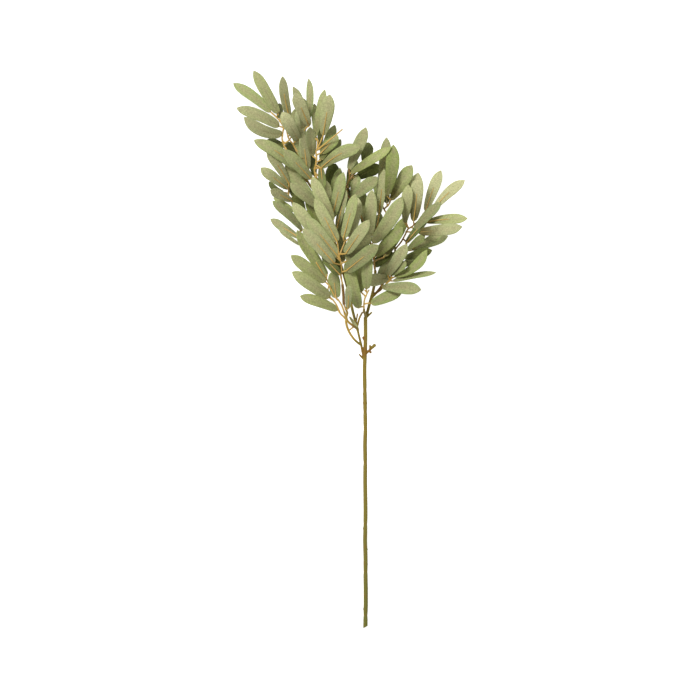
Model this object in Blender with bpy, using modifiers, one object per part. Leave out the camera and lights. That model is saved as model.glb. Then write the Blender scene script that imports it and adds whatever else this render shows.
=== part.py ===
"""A willow stem laid flat: one cut stem with forked arms, and leafy sprays seated on the ends of the arms.

Metres, +Z up. The stem runs along +Y from its cut end to its tips. The origin is under the middle of the
whole stem, on the surface that it lies on.
"""

import math
from collections import namedtuple

import bmesh
import bpy
import numpy as np
from mathutils import Vector

# Driving dimensions, in metres
OVERALL_LENGTH = 0.838          # cut end to the highest leaf tip
LEAF_LENGTH = 0.072             # a leaf that is seen at its full length
LEAF_FULL_WIDTH = 0.0188        # a leaf that faces up
LEAF_THICKNESS = 0.0008
STALK_HALF_WIDTH = 0.0009
STEM_RADIUS = 0.00265
ARM_RADIUS = 0.0021
SIDE_ARM_RADIUS = 0.0018
TWIG_RADIUS = 0.0015
TWIG_TIP_RADIUS = 0.0011
PRONG_RADIUS = 0.00105
SEAT_GAP = 0.0003               # between the end of an arm and the twig seated on it
WELD = 0.00002                  # merges a rod's caps with its wall
SEAT_STRAIGHT = 0.0045          # the end of an arm that is in line with its twig

# How the leaves rise from their twigs
LEAF_CLEARANCE = 0.0034         # upright distance kept between two leaves that lie over each other
TIP_LIFT = 0.00069              # middle of a leaf tip that touches the surface
RANK_HEIGHT = 0.0155            # how much higher the tip of each next rank of leaf starts
RANK_FLOOR = 0.006
RANK_SHARE = 0.5                # share of the way to its rank's height that a tip goes at first
SHORT_SHARE = 0.45              # share of its missing plan length that a leaf rises or falls at first
FIRST_BASE = 0.001
FIRST_ARCH = 0.004
FIRST_RISE_LIMIT = 0.040
LOWEST_SHAPE = (-0.007, -0.075, -0.014)     # limits of a leaf's base height, rise and arch
HIGHEST_SHAPE = (0.007, 0.075, 0.020)
LARGEST_ROLL = math.radians(38)
ROOT_MARGIN = 0.15              # share of a stretch of twig, at each end, that carries no leaf
ROOT_SETBACK = 0.004            # a leaf is rooted on the twig nearest to this far behind its base

# Settling
SETTLE_TURNS = 160
EASE_TURNS = 110                # turns in which leaves also ease back to their first shape
EASE = 0.02
FREE_BASE = 0.16                # share of a leaf, from its base, that isn't kept clear of other leaves
FREE_ON_TWIG = 0.12             # the same for twigs, and for the spray's own twigs
FREE_ON_OWN_TWIG = 0.34
PULL = (0.6, 1.0, 0.7)          # how readily base height, rise and arch give way

LEAF_ROWS = (0.05, 0.22, 0.45, 0.68, 0.88, 1.0)     # places along a leaf that have a row of points
WIDTH_STOPS = (0.0, 0.05, 0.15, 0.35, 0.55, 0.72, 0.86, 0.94, 1.0)
WIDTH_SHARES = (0.32, 0.56, 0.74, 0.94, 1.00, 0.91, 0.64, 0.36, 0.06)

# Plan places are read off the photograph, in its pixels: u to the right and v down.
PLAN_TOP_V = 70.0               # the highest leaf tip
PLAN_CUT_V = 628.5              # the cut end
PLAN_MIDDLE_U = 350.0
PLAN_MIDDLE_V = 349.4
STEP = OVERALL_LENGTH / (PLAN_CUT_V - PLAN_TOP_V)
CELL = 2.2 * STEP               # side of the plan squares that settling compares heights in

# A leaf row: plan tip, plan base, width seen (px), rank from the surface up (0 low, 9 high), and sideways
# bend (px)
Leaf = namedtuple("Leaf", "tip_u tip_v base_u base_v wide rank bend", defaults=(0.0,))
# A spray: its twigs as (u, v, height in mm) points, the rank of its twigs, its leaves, and which of its twigs
# carries another spray on its end
Spray = namedtuple("Spray", "twigs rank leaves carries", defaults=({},))

SPRAYS = {
    "spray_upper_left": Spray(
        twigs=[[(285.5, 150, 52), (283.5, 144, 53), (282, 138, 54), (283, 131, 54), (283, 126, 53),
                (279, 120, 52), (275, 115.5, 51)],
               [(282.7, 131, 54), (286, 124, 56), (288.5, 118.5, 57)],
               [(283.5, 144, 53), (289, 140, 55), (291, 137, 56)],
               [(284, 145.5, 53), (289, 154, 57), (293, 162, 59), (299, 171, 60)]],
        rank=4.5,
        leaves=[Leaf(232.7, 82, 270.5, 111.5, 11, 0, -1.5), Leaf(253.5, 70.5, 278, 113, 11.5, 4.4),
                Leaf(236.5, 108, 279, 126, 11.5, 5.0, -2), Leaf(244, 117.5, 282, 134.5, 12.5, 6.0, 4.5),
                Leaf(282.5, 76.5, 289, 116, 9.5, 5.0, 1.2),
                Leaf(279, 102.5, 280, 118, 7, 2.0), Leaf(267, 139, 284, 147, 8.5, 2.0),
                Leaf(254, 140, 297, 169, 13, 6.0, -3),
                Leaf(303, 160, 286, 143, 9, 1.5)]),
    "spray_upper_middle": Spray(
        twigs=[[(297, 152, 58), (293, 144, 60), (289, 139, 61), (286.5, 131, 62)],
               [(293, 144, 60), (301, 134, 62), (306, 128, 63), (307.5, 123, 64)],
               [(294, 146, 60), (300, 156, 65), (305, 166, 64), (307.5, 172.5, 63)],
               [(296.5, 139.4, 61.2), (300.8, 142, 62)]],
        rank=4.0,
        leaves=[Leaf(282, 112.5, 299, 141, 13, 7.0), Leaf(293, 86.5, 303, 128, 9, 4.0, -3),
                Leaf(295, 93.5, 309, 126, 12.8, 6.2),
                Leaf(308.5, 78, 308, 120, 7.5, 3.5, -1.7), Leaf(303.5, 97.5, 307, 122, 6, 2.0),
                Leaf(303, 133, 307, 170, 11, 4.8), Leaf(294.5, 108, 291, 133, 7, 2.4),
                Leaf(298, 108, 303, 137, 10, 3.0), Leaf(294, 128, 303, 158, 9, 2.6)]),
    "spray_top": Spray(
        twigs=[[(316.5, 178, 70), (314.5, 171, 73), (316, 164, 76), (316.5, 157, 78), (316, 152, 79),
                (317, 148.5, 80), (318, 140, 80)],
               [(317, 149, 80), (320.5, 142, 82), (322.5, 137, 82)],
               [(315, 172.5, 73), (321.5, 180, 68), (327, 194, 60), (330.5, 207, 58)],
               [(317, 150.5, 80), (330, 140, 88), (342.5, 129.5, 90)]],
        rank=5.0,
        leaves=[Leaf(330, 95, 323, 135.5, 14.5, 6.0), Leaf(325, 89.5, 314.5, 137, 9, 5.0),
                Leaf(314.3, 103, 316, 136.5, 7, 3.0), Leaf(310.3, 127.5, 312.5, 156, 11, 5.0),
                Leaf(361, 146.5, 321, 168, 14, 7.0, 3), Leaf(335, 124.5, 321, 160, 10, 3.0),
                Leaf(338, 135.5, 321, 153, 12, 4.9), Leaf(323, 189, 321, 168, 8, 5.6),
                Leaf(335.5, 163, 327, 190, 14, 2.0), Leaf(340, 167.5, 330, 205, 10, 2.4),
                Leaf(284, 150, 311, 179, 13, 6.6),
                Leaf(321, 114, 320, 148, 7, 1.8), Leaf(311, 153, 314.5, 176, 8, 2.0),
                Leaf(341, 139, 318, 167, 11, 2.6)]),
    "spray_middle_left": Spray(
        twigs=[[(292, 201.5, 58), (289, 197, 61), (288.5, 190, 63), (289, 184, 64)],
               [(290, 198.5, 60), (297, 196.5, 62)],
               [(290, 198.5, 60), (294, 205, 63), (300, 220, 62), (300, 236, 58), (301, 247, 56)]],
        rank=4.8,
        leaves=[Leaf(267, 151, 289, 184, 10, 5.0, -1), Leaf(261, 168, 288, 189, 11, 5.5),
                Leaf(268.5, 181, 283, 192, 6, 1.6, 2), Leaf(270.5, 190, 292, 201, 10, 5.2),
                Leaf(273, 197.5, 298, 213, 6, 4.2), Leaf(272.5, 201, 302, 230, 9.5, 5.3, -1.5),
                Leaf(270, 218.5, 300, 238, 9, 0), Leaf(279, 230, 300, 245, 4, 3.2),
                Leaf(290, 175, 295, 198, 11, 2.5), Leaf(294, 194, 304, 217, 13, 2.8)]),
    "spray_middle": Spray(
        twigs=[[(325.5, 237, 52), (322, 226, 60), (319.5, 211, 65)]],
        rank=4.6,
        leaves=[Leaf(290.5, 183, 318, 207, 12, 5.6), Leaf(306, 197, 324, 233, 10, 3.4),
                Leaf(285, 165, 316, 203, 12, 4.4)]),
    "spray_middle_back": Spray(
        twigs=[[(338, 245, 78), (336.5, 236, 82), (335, 228, 84), (332, 218, 86)]],
        rank=5.0,
        leaves=[Leaf(343.5, 172.5, 332, 218, 12, 6.0), Leaf(326.5, 181, 331, 220, 9, 5.3),
                Leaf(346, 190, 337, 228, 7.5, 5.6), Leaf(344, 212, 339, 240, 10, 3.2)]),
    "spray_middle_front": Spray(
        twigs=[[(346.3, 310.2, 92), (344, 304, 96), (343.5, 295, 102), (342.5, 285, 107), (341, 276, 112),
                (341.5, 270, 115), (341, 263, 118), (339.5, 258, 120), (338.5, 254, 121), (338, 247, 121),
                (336, 237, 120), (333.5, 227, 119)],
               [(339, 256, 120.5), (343, 247, 118), (345, 241, 117)],
               [(340.7, 261.5, 118.5), (332, 253, 116), (325, 246, 114)]],
        rank=7.0,
        leaves=[Leaf(312.5, 177, 332, 222, 12.5, 6.8), Leaf(315, 199, 337, 242, 12.5, 7.6),
                Leaf(355.5, 194.5, 343.5, 238.5, 11, 7.6), Leaf(358, 198, 350, 238, 13, 6.9),
                Leaf(369, 220.5, 345.5, 254, 12, 8.0), Leaf(293, 202.5, 322, 243, 13, 7.2),
                Leaf(306, 217, 338, 257, 13, 8.0), Leaf(303, 229, 334.5, 263.5, 13, 8.4),
                Leaf(322, 256, 340, 275, 9, 6.9), Leaf(378.5, 245.5, 346, 271, 14, 8.2),
                Leaf(349, 285, 348, 309, 7, 7.1),
                Leaf(371, 233, 347, 261, 13, 6.4), Leaf(341, 229, 343, 262, 9, 6.2),
                Leaf(333, 256, 341, 275, 8, 6.3)]),
    "spray_east": Spray(
        twigs=[[(350, 199, 68), (345.5, 190, 72), (347.5, 184, 74), (349.5, 178, 76), (349, 169, 78)],
               [(348.6, 181, 75), (356, 172, 75), (362, 166, 73)]],
        rank=5.0,
        leaves=[Leaf(366, 127.5, 349, 170, 12.5, 5.0), Leaf(391, 147.5, 351, 173, 10, 7.0),
                Leaf(369, 142, 364, 163, 13, 4.0), Leaf(357, 160, 352, 175, 6, 2.0),
                Leaf(356.5, 174, 353.5, 198, 10, 4.9), Leaf(377.5, 177, 351.5, 198.5, 13, 6.0),
                Leaf(380.5, 165, 356, 178, 13, 3.0),
                Leaf(349, 212, 348, 188, 7, 2.2), Leaf(351, 165, 347.5, 190, 6, 1.8)]),
    "spray_right_top": Spray(
        twigs=[[(386.5, 213, 62), (384, 209, 62), (382, 204, 61), (381.5, 196, 60), (380.5, 186, 60)],
               [(384, 209, 62), (389, 204, 71), (390.5, 199, 80)]],
        rank=4.6,
        leaves=[Leaf(386.5, 137.5, 380, 182, 10.5, 5.6, -1), Leaf(393.5, 145, 387, 196, 14, 6.6, -1.5),
                Leaf(412, 165.5, 391, 200, 14, 5.2),
                Leaf(376, 177, 380.5, 203, 9, 2.4), Leaf(384, 184, 387, 203, 9, 2.8)]),
    "spray_right_middle": Spray(
        twigs=[[(375, 270, 62), (373.5, 257, 66), (371, 246, 68), (369.5, 238, 68), (361, 216, 67)],
               [(369.5, 238, 68), (378, 227, 65)],
               [(373.8, 262, 64.5), (379, 259, 65), (384, 257.5, 65)]],
        rank=4.4,
        leaves=[Leaf(384, 169.5, 379, 214.5, 9, 6.2), Leaf(372, 190, 369.5, 236, 12, 6.25),
                Leaf(402, 197, 373, 243, 15, 7.0, -2),
                Leaf(406.5, 216.5, 384.5, 256, 12, 4.3), Leaf(402.5, 227.5, 375.5, 256, 14, 5.6),
                Leaf(381, 213, 373, 233, 9, 2.0), Leaf(391.5, 249.5, 374, 266, 11, 3.0),
                Leaf(361, 188, 366, 228, 11, 2.6)],
        carries={0: "spray_east", 1: "spray_right_top"}),
    "spray_right": Spray(
        twigs=[[(397, 247, 54), (401, 242, 56), (405, 235, 58), (408, 229, 60), (412, 226.5, 61),
                (420, 219, 61), (423.5, 213.5, 60)],
               [(419, 220, 61), (426, 216.5, 60), (431, 213, 60)],
               [(403, 238.5, 57), (406.5, 243, 57), (405.5, 252, 56)]],
        rank=4.5,
        leaves=[Leaf(408, 185, 405, 223, 11.5, 6.0), Leaf(416.5, 173.5, 405, 219, 11, 4.45),
                Leaf(441.5, 169.5, 425.5, 211, 11.5, 0, 0.7), Leaf(465, 180, 432, 211, 11, 4.4, 2),
                Leaf(441, 202, 413, 232, 10, 5.2, 0.7), Leaf(428, 216, 406, 243, 8, 5.0),
                Leaf(467.5, 218.5, 426, 222, 10.5, 4.8, 1), Leaf(462, 227, 418, 232, 12, 5.5, -1),
                Leaf(443, 233, 412, 250, 9, 4.0), Leaf(448.5, 235.5, 415, 248, 10, 0),
                Leaf(418, 172.5, 413.5, 221, 13, 5.6, -0.7), Leaf(425, 234.5, 406, 251, 7.5, 5.0)]),
    "spray_lower_right": Spray(
        twigs=[[(382, 288, 62), (386, 284, 64), (391, 279, 66), (392, 275, 67), (397, 269, 67),
                (401, 262.5, 66), (403.5, 259, 65)]],
        rank=5.0,
        leaves=[Leaf(406.5, 244.5, 388, 275, 12, 6.0), Leaf(406, 262, 391, 275, 9, 5.5),
                Leaf(366, 281, 391, 278, 13, 5.0), Leaf(421, 290, 382, 287, 13, 6.2, 0.8),
                Leaf(436, 272.5, 393, 281, 6, 5.2, 1), Leaf(427, 250, 394.5, 277, 10, 5.2, -5),
                Leaf(432, 250.5, 404, 258, 10, 5.1), Leaf(418, 256, 402, 266, 9, 3.0),
                Leaf(396, 252, 379, 280, 14, 2.6)]),
    "spray_centre": Spray(
        twigs=[[(364, 308.6, 76), (364, 303.5, 79), (365, 298, 82), (367, 293, 84), (364.5, 290, 85)],
               [(367, 293, 84), (369, 290, 85)],
               [(364, 304, 79), (370, 303, 80)],
               [(364, 306.5, 77), (358, 307.5, 79)]],
        rank=6.4,
        leaves=[Leaf(346.5, 260, 358.5, 308, 12, 7.0), Leaf(403, 290, 371, 303.5, 12, 6.0),
                Leaf(367, 247, 366.5, 289, 12, 7.5), Leaf(357.5, 256, 361, 292, 9, 6.3)]),
    "spray_lower_left": Spray(
        twigs=[[(344, 317, 66), (340, 313, 68), (337, 306, 70), (333, 300, 71), (329, 297, 72),
                (328, 290, 73), (328.5, 283, 74), (322, 272, 75), (316, 262, 76)]],
        rank=6.0,
        leaves=[Leaf(292, 272, 330, 297, 13, 6.8), Leaf(300, 296, 337.5, 310, 11, 7.0, -1),
                Leaf(297, 230, 326, 277, 11, 6.0, 1), Leaf(309, 246, 327, 275, 7, 5.6)]),
    "spray_left": Spray(
        twigs=[[(344.2, 311.9, 84), (342, 306, 86), (339, 301, 87), (335.5, 297.5, 88), (332, 291, 89),
                (329, 285, 90)]],
        rank=6.6,
        leaves=[Leaf(291, 255.5, 325.5, 282, 12, 6.7), Leaf(333, 271, 336, 298, 12, 6.2)]),
}

# The arms of the stem: (u, v, height in mm) points, radius at the start and the end, the spray that the arm
# carries, and the rank of the arm
Arm = namedtuple("Arm", "points start_radius end_radius carries rank")
ARMS = [
    Arm([(365.3, 628.5, 2.3), (365.4, 573, 9), (365.3, 525, 15), (365.2, 463, 25), (365, 412, 35),
         (364.8, 375, 42), (365.4, 357, 46), (366, 340, 50), (365.8, 317, 56)],
        STEM_RADIUS, ARM_RADIUS, None, 5.0),
    Arm([(365.8, 317, 56), (368, 310, 58), (370, 302, 60), (372, 295, 61), (374.5, 284, 61)],
        ARM_RADIUS, SIDE_ARM_RADIUS, "spray_right_middle", 4.6),
    Arm([(371.4, 298, 61), (376, 293, 61)], SIDE_ARM_RADIUS, TWIG_RADIUS, "spray_lower_right", 4.6),
    Arm([(374.5, 295, 61), (383, 283.5, 54), (391, 266, 51), (395, 255, 52)],
        TWIG_RADIUS, TWIG_RADIUS, "spray_right", 2.4),
    Arm([(365.8, 317, 56), (364.5, 312, 70)], SIDE_ARM_RADIUS, TWIG_RADIUS, "spray_centre", 5.4),
    Arm([(365, 359, 45), (363, 354, 48), (361, 344, 52), (359, 336, 56), (357, 327, 58), (354.5, 318, 56),
         (352.5, 310, 52), (349, 294, 46), (343, 272, 42), (336, 246, 42), (326, 219, 42), (319, 197, 50)],
        ARM_RADIUS, TWIG_RADIUS, "spray_top", 3.6),
    Arm([(336, 246, 42), (340, 255, 60)], TWIG_RADIUS, TWIG_RADIUS, "spray_middle_back", 3.0),
    Arm([(339, 258, 42), (330, 250, 44)], TWIG_RADIUS, TWIG_RADIUS, "spray_middle", 2.6),
    Arm([(326, 219, 42), (308, 212, 42), (298, 207, 48)], TWIG_RADIUS, TWIG_RADIUS, "spray_middle_left", 2.4),
    Arm([(319, 197, 50), (308, 182, 44), (300, 163, 48)],
        TWIG_RADIUS, TWIG_RADIUS, "spray_upper_middle", 2.4),
    Arm([(308, 182, 44), (296, 171, 38), (288, 159, 42)], TWIG_RADIUS, TWIG_RADIUS, "spray_upper_left", 2.0),
    Arm([(361, 345, 52), (357, 342, 56), (353.5, 338.5, 58), (350, 333.5, 60), (347.5, 328, 62),
         (346, 322, 64)],
        TWIG_RADIUS, TWIG_RADIUS, "spray_lower_left", 5.8),
    Arm([(357.5, 329, 58), (352, 325, 70), (347.5, 321, 76), (346.2, 317, 80)], TWIG_RADIUS, TWIG_RADIUS,
        "spray_left", 6.2),
    Arm([(346.2, 317, 80), (347, 314.5, 85)], TWIG_RADIUS, TWIG_RADIUS, "spray_middle_front", 6.4),
    Arm([(357, 327, 58), (359.5, 318, 68), (362.6, 312, 71)], TWIG_RADIUS, PRONG_RADIUS, None, 5.6),
]

# Short stubs and buds on the stem: two (u, v, height in mm) ends and a radius
STUBS = [
    [(367, 317, 56), (372, 312, 59), 0.0012],
    [(365, 341.5, 50), (362.7, 336.8, 51.5), 0.0014],
    [(365.5, 354, 46), (375, 345, 54), 0.0017],
    [(370, 349.5, 50), (370, 345, 55), 0.0013],
    [(364, 360, 45), (359, 354, 49), 0.0012],
    [(372.5, 347.3, 52), (375.3, 344.5, 54.5), 0.0023],
    [(369.5, 351.5, 49.5), (371.5, 352.8, 49.5), 0.0016],
    [(356, 323, 58), (357.5, 313.5, 62), 0.001],
    [(348.8, 330.5, 61.5), (353.5, 327, 68), 0.001],
    [(357, 328, 59), (353, 322, 66), 0.0012],
    [(353, 322, 66), (349.5, 316.5, 68), 0.0016],
]


def plan(u, v, height_mm=0.0):
    """A plan place in pixels and a height in millimetres, as a point in metres."""
    return Vector(((u - PLAN_MIDDLE_U) * STEP, (PLAN_MIDDLE_V - v) * STEP, height_mm * 0.001))


def half_width(t):
    """Half the width of a leaf at t (0 base, 1 tip), as a share of its largest half width."""
    return float(np.interp(t, WIDTH_STOPS, WIDTH_SHARES))


class Blade:
    """One leaf: a spine in plan, a height along it that settling moves, a width and a roll."""

    def __init__(self, row, spray_name, spray):
        self.rank = row.rank
        self.spray_name = spray_name
        self.base = plan(row.base_u, row.base_v)
        self.tip = plan(row.tip_u, row.tip_v)
        run = self.tip - self.base
        self.length = run.length
        self.axis = run.normalized()
        self.side = Vector((-self.axis.y, self.axis.x, 0.0))
        self.bend = row.bend * STEP
        seen = row.wide * STEP
        self.roll = math.acos(max(min(seen / LEAF_FULL_WIDTH, 1.0), math.cos(LARGEST_ROLL)))
        self.roll *= 1 if self.side.x * run.x > 0 else -1
        self.half = seen / 2 / math.cos(self.roll)
        self.root = nearest_on_twigs(self.base - self.axis * ROOT_SETBACK, spray.twigs)
        short = math.sqrt(max(LEAF_LENGTH ** 2 - self.length ** 2, 0.0)) * SHORT_SHARE
        toward = 1 if row.rank >= spray.rank else -1
        rise = RANK_SHARE * (RANK_FLOOR + RANK_HEIGHT * row.rank - self.root.z) + toward * short
        rise = min(max(rise, -FIRST_RISE_LIMIT), FIRST_RISE_LIMIT)
        # Height of the base over the root, height of the tip over the root, and arch of the middle
        self.shape = np.array([FIRST_BASE, rise, FIRST_ARCH])
        self.first_shape = self.shape.copy()

    def height(self, t):
        """Height of the spine at t."""
        return self.root.z + float(self.shape @ self.weights(t))

    @staticmethod
    def weights(t):
        return np.array([1.0 - t, t, 4 * t * (1 - t)])

    def point(self, t, across):
        """A point of the leaf: t along it, and across from -1 to 1."""
        flat = self.base + self.axis * (self.length * t) + self.side * (self.bend * 4 * t * (1 - t))
        reach = across * self.half * half_width(t)
        flat += self.side * (reach * math.cos(self.roll))
        flat.z = self.height(t) + reach * math.sin(self.roll)
        return flat


def nearest_on_twigs(place, twigs):
    """The point on the middle line of the twigs that is nearest in plan."""
    best = None
    for twig in twigs:
        points = [plan(*p) for p in twig]
        for a, b in zip(points, points[1:]):
            line = (b - a).to_2d()
            share = (place.to_2d() - a.to_2d()).dot(line) / line.length_squared
            share = min(max(share, ROOT_MARGIN), 1 - ROOT_MARGIN)
            spot = a.lerp(b, share)
            far = (spot.to_2d() - place.to_2d()).length
            if best is None or far < best[0]:
                best = (far, spot)
    return best[1]


def leaf_cells(blade):
    """The plan squares that a leaf covers: square -> (t, height over the spine)."""
    found = {}
    for i in range(4, 41):
        t = i / 40
        for across in (-1.0, -0.6, -0.3, 0.0, 0.3, 0.6, 1.0):
            spot = blade.point(t, across)
            key = (round(spot.x / CELL), round(spot.y / CELL))
            found.setdefault(key, []).append((t, across * blade.half * half_width(t) * math.sin(blade.roll)))
    return {key: tuple(np.mean(rows, axis=0)) for key, rows in found.items()}


def rod_cells(points, radius):
    """The plan squares that a twig or arm covers: square -> height of its middle line."""
    found = {}
    for a, b in zip(points, points[1:]):
        count = max(int((b - a).length / (CELL * 0.4)), 1)
        for i in range(count + 1):
            spot = a.lerp(b, i / count)
            for shift in (-radius, 0.0, radius):
                found[(round((spot.x + shift) / CELL), round(spot.y / CELL))] = spot.z
    return found


def settle(blades, rods):
    """Raises and lowers the leaves, upright only, until those that lie over each other are clear."""
    covers = [leaf_cells(blade) for blade in blades]
    pairs = []
    for i, upper in enumerate(blades):
        for j, lower in enumerate(blades):
            over = (upper.rank, i) > (lower.rank, j)
            shared = [key for key in covers[i] if key in covers[j]] if over else []
            shared = [key for key in shared if max(covers[i][key][0], covers[j][key][0]) > FREE_BASE]
            if shared:
                pairs.append((i, j, np.array([covers[i][key] for key in shared]),
                              np.array([covers[j][key] for key in shared])))
    rests = []
    for i, blade in enumerate(blades):
        for points, radius, rank, owner in rods:
            cells = rod_cells(points, radius)
            near = FREE_ON_OWN_TWIG if owner == blade.spray_name else FREE_ON_TWIG
            shared = [key for key in covers[i] if key in cells and covers[i][key][0] > near]
            if shared:
                side = 1 if blade.rank > rank else -1
                rests.append((i, side, radius, np.array([covers[i][key] for key in shared]),
                              np.array([cells[key] for key in shared])))
    for turn in range(SETTLE_TURNS):
        ease = EASE if turn < EASE_TURNS else 0.0
        for blade in blades:
            blade.shape += (blade.first_shape - blade.shape) * ease
        for i, j, at_i, at_j in pairs:
            gaps = heights(blades[i], at_i) - heights(blades[j], at_j)
            worst = int(np.argmin(gaps))
            if gaps[worst] < LEAF_CLEARANCE:
                push = (LEAF_CLEARANCE - gaps[worst]) / 2
                nudge(blades[i], at_i[worst][0], push)
                nudge(blades[j], at_j[worst][0], -push)
        for i, side, radius, at_i, middle in rests:
            gaps = side * (heights(blades[i], at_i) - middle) - radius
            worst = int(np.argmin(gaps))
            if gaps[worst] < LEAF_CLEARANCE:
                nudge(blades[i], at_i[worst][0], side * (LEAF_CLEARANCE - gaps[worst]))
        for i, blade in enumerate(blades):
            edge = abs(blade.half * math.sin(blade.roll))
            for t in (0.3, 0.65, 1.0):
                lift = LEAF_THICKNESS / 2 + edge * half_width(t) - blade.height(t)
                if lift > 0:
                    nudge(blade, t, lift)
            if blade.rank == 0:
                nudge(blade, 1.0, TIP_LIFT - blade.height(1.0))
            blade.shape = np.clip(blade.shape, LOWEST_SHAPE, HIGHEST_SHAPE)


def heights(blade, rows):
    """Heights of a leaf at rows of (t, height over the spine)."""
    t = rows[:, 0]
    spine = blade.shape[0] * (1 - t) + blade.shape[1] * t + blade.shape[2] * 4 * t * (1 - t)
    return blade.root.z + spine + rows[:, 1]


def nudge(blade, t, amount):
    """The smallest change of a leaf's shape that moves its spine at t by this much."""
    pull = blade.weights(t) * np.array(PULL)
    blade.shape += pull * (amount / float(blade.weights(t) @ pull))


def new_material(name, colour, roughness):
    material = bpy.data.materials.new(name)
    material.use_nodes = True
    shader = material.node_tree.nodes["Principled BSDF"]
    shader.inputs["Base Color"].default_value = (*colour, 1.0)
    shader.inputs["Roughness"].default_value = roughness
    shader.inputs["Metallic"].default_value = 0.0
    material.diffuse_color = (*colour, 1.0)
    return material


def rod(name, points, radii, collection):
    """A round rod through points, as a closed mesh object."""
    curve = bpy.data.curves.new(name, "CURVE")
    curve.dimensions = "3D"
    curve.bevel_depth = 1.0
    curve.bevel_resolution = 1
    curve.use_fill_caps = True
    spline = curve.splines.new("POLY")
    spline.points.add(len(points) - 1)
    for slot, point, radius in zip(spline.points, points, radii):
        slot.co = (*point, 1.0)
        slot.radius = radius
    holder = bpy.data.objects.new(name + "_curve", curve)
    collection.objects.link(holder)
    bpy.context.view_layer.update()
    mesh = bpy.data.meshes.new_from_object(holder.evaluated_get(bpy.context.evaluated_depsgraph_get()))
    bpy.data.objects.remove(holder)
    bpy.data.curves.remove(curve)
    shape = bmesh.new()
    shape.from_mesh(mesh)
    bmesh.ops.remove_doubles(shape, verts=shape.verts, dist=WELD)
    bmesh.ops.recalc_face_normals(shape, faces=shape.faces)
    shape.to_mesh(mesh)
    shape.free()
    piece = bpy.data.objects.new(name, mesh)
    collection.objects.link(piece)
    return piece


def leaf_solid(name, blade, collection):
    """A thin closed leaf with its stalk, whose stalk ends inside the twig."""
    shape = bmesh.new()
    bmesh.ops.create_grid(shape, x_segments=1, y_segments=len(LEAF_ROWS), size=0.5)
    stalk = blade.point(LEAF_ROWS[0], 0.0) - blade.root
    turned = Vector((-stalk.y, stalk.x, 0.0))
    turned = turned.normalized() if turned.length > 1e-5 else blade.side.copy()
    if turned.dot(blade.side) < 0:
        turned = blade.side.copy()
    for vert in shape.verts:
        row = round((vert.co.y + 0.5) * len(LEAF_ROWS))
        across = 2 * vert.co.x
        if row == 0:
            vert.co = blade.root + turned * (across * STALK_HALF_WIDTH)
        else:
            vert.co = blade.point(LEAF_ROWS[row - 1], across)
    bmesh.ops.triangulate(shape, faces=shape.faces)
    mesh = bpy.data.meshes.new(name)
    shape.to_mesh(mesh)
    shape.free()
    piece = bpy.data.objects.new(name, mesh)
    collection.objects.link(piece)
    thick = piece.modifiers.new("thickness", "SOLIDIFY")
    thick.thickness = LEAF_THICKNESS
    thick.offset = 0.0
    return piece


def drop_slivers(mesh):
    """Keeps the largest closed body, and drops the specks that a union leaves where faces nearly meet."""
    shape = bmesh.new()
    shape.from_mesh(mesh)
    left = set(shape.verts)
    bodies = []
    while left:
        body = set()
        open_ends = [left.pop()]
        while open_ends:
            vert = open_ends.pop()
            body.add(vert)
            for edge in vert.link_edges:
                other = edge.other_vert(vert)
                if other in left:
                    left.discard(other)
                    open_ends.append(other)
        bodies.append(body)
    bodies.sort(key=len)
    specks = [vert for body in bodies[:-1] for vert in body]
    bmesh.ops.delete(shape, geom=specks, context="VERTS")
    shape.to_mesh(mesh)
    shape.free()


def fuse(core, cutters, material):
    """Joins a core with all the pieces of a collection into one closed node."""
    join = core.modifiers.new("join", "BOOLEAN")
    join.operation = "UNION"
    join.operand_type = "COLLECTION"
    join.collection = cutters
    bpy.context.view_layer.update()
    mesh = bpy.data.meshes.new_from_object(core.evaluated_get(bpy.context.evaluated_depsgraph_get()))
    drop_slivers(mesh)
    core.modifiers.clear()
    core.data = mesh
    core.data.materials.clear()
    core.data.materials.append(material)
    for piece in list(cutters.objects):
        bpy.data.objects.remove(piece)


def line_points(places, carried):
    """The points of an arm or twig, with its end squared to the twig of the spray that it carries."""
    points = [plan(*p) for p in places]
    if carried:
        first, second = (plan(*p) for p in SPRAYS[carried].twigs[0][:2])
        back = (first - second).normalized()
        points.append(first + back * SEAT_STRAIGHT)
        points.append(first + back * SEAT_GAP)
    return points


def spread(first, last, count):
    """A list of evenly spaced values from first to last."""
    return [first + (last - first) * i / (count - 1) for i in range(count)]


def build_stem(material, home, workshop):
    """The cut stem with all its arms, stubs and buds, as one node."""
    for number, arm in enumerate(ARMS[1:]):
        points = line_points(arm.points, arm.carries)
        rod(f"arm_{number}", points, spread(arm.start_radius, arm.end_radius, len(points)), workshop)
    for number, (start, end, radius) in enumerate(STUBS):
        rod(f"stub_{number}", [plan(*start), plan(*end)], [radius, radius], workshop)
    trunk = line_points(ARMS[0].points, ARMS[0].carries)
    core = rod("main_stem", trunk, spread(ARMS[0].start_radius, ARMS[0].end_radius, len(trunk)), home)
    fuse(core, workshop, material)


def build_spray(name, spray, blades, material, home, workshop):
    """One spray: its twigs and leaves, as one node."""
    for number, twig in enumerate(spray.twigs):
        points = line_points(twig, spray.carries.get(number))
        radii = spread(TWIG_RADIUS, TWIG_TIP_RADIUS, len(points))
        if number == 0:
            core = rod(name, points, radii, home)
        else:
            rod(f"prong_{number}", points, radii, workshop)
    for number, blade in enumerate(blades):
        leaf_solid(f"leaf_{number}", blade, workshop)
    fuse(core, workshop, material)


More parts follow.
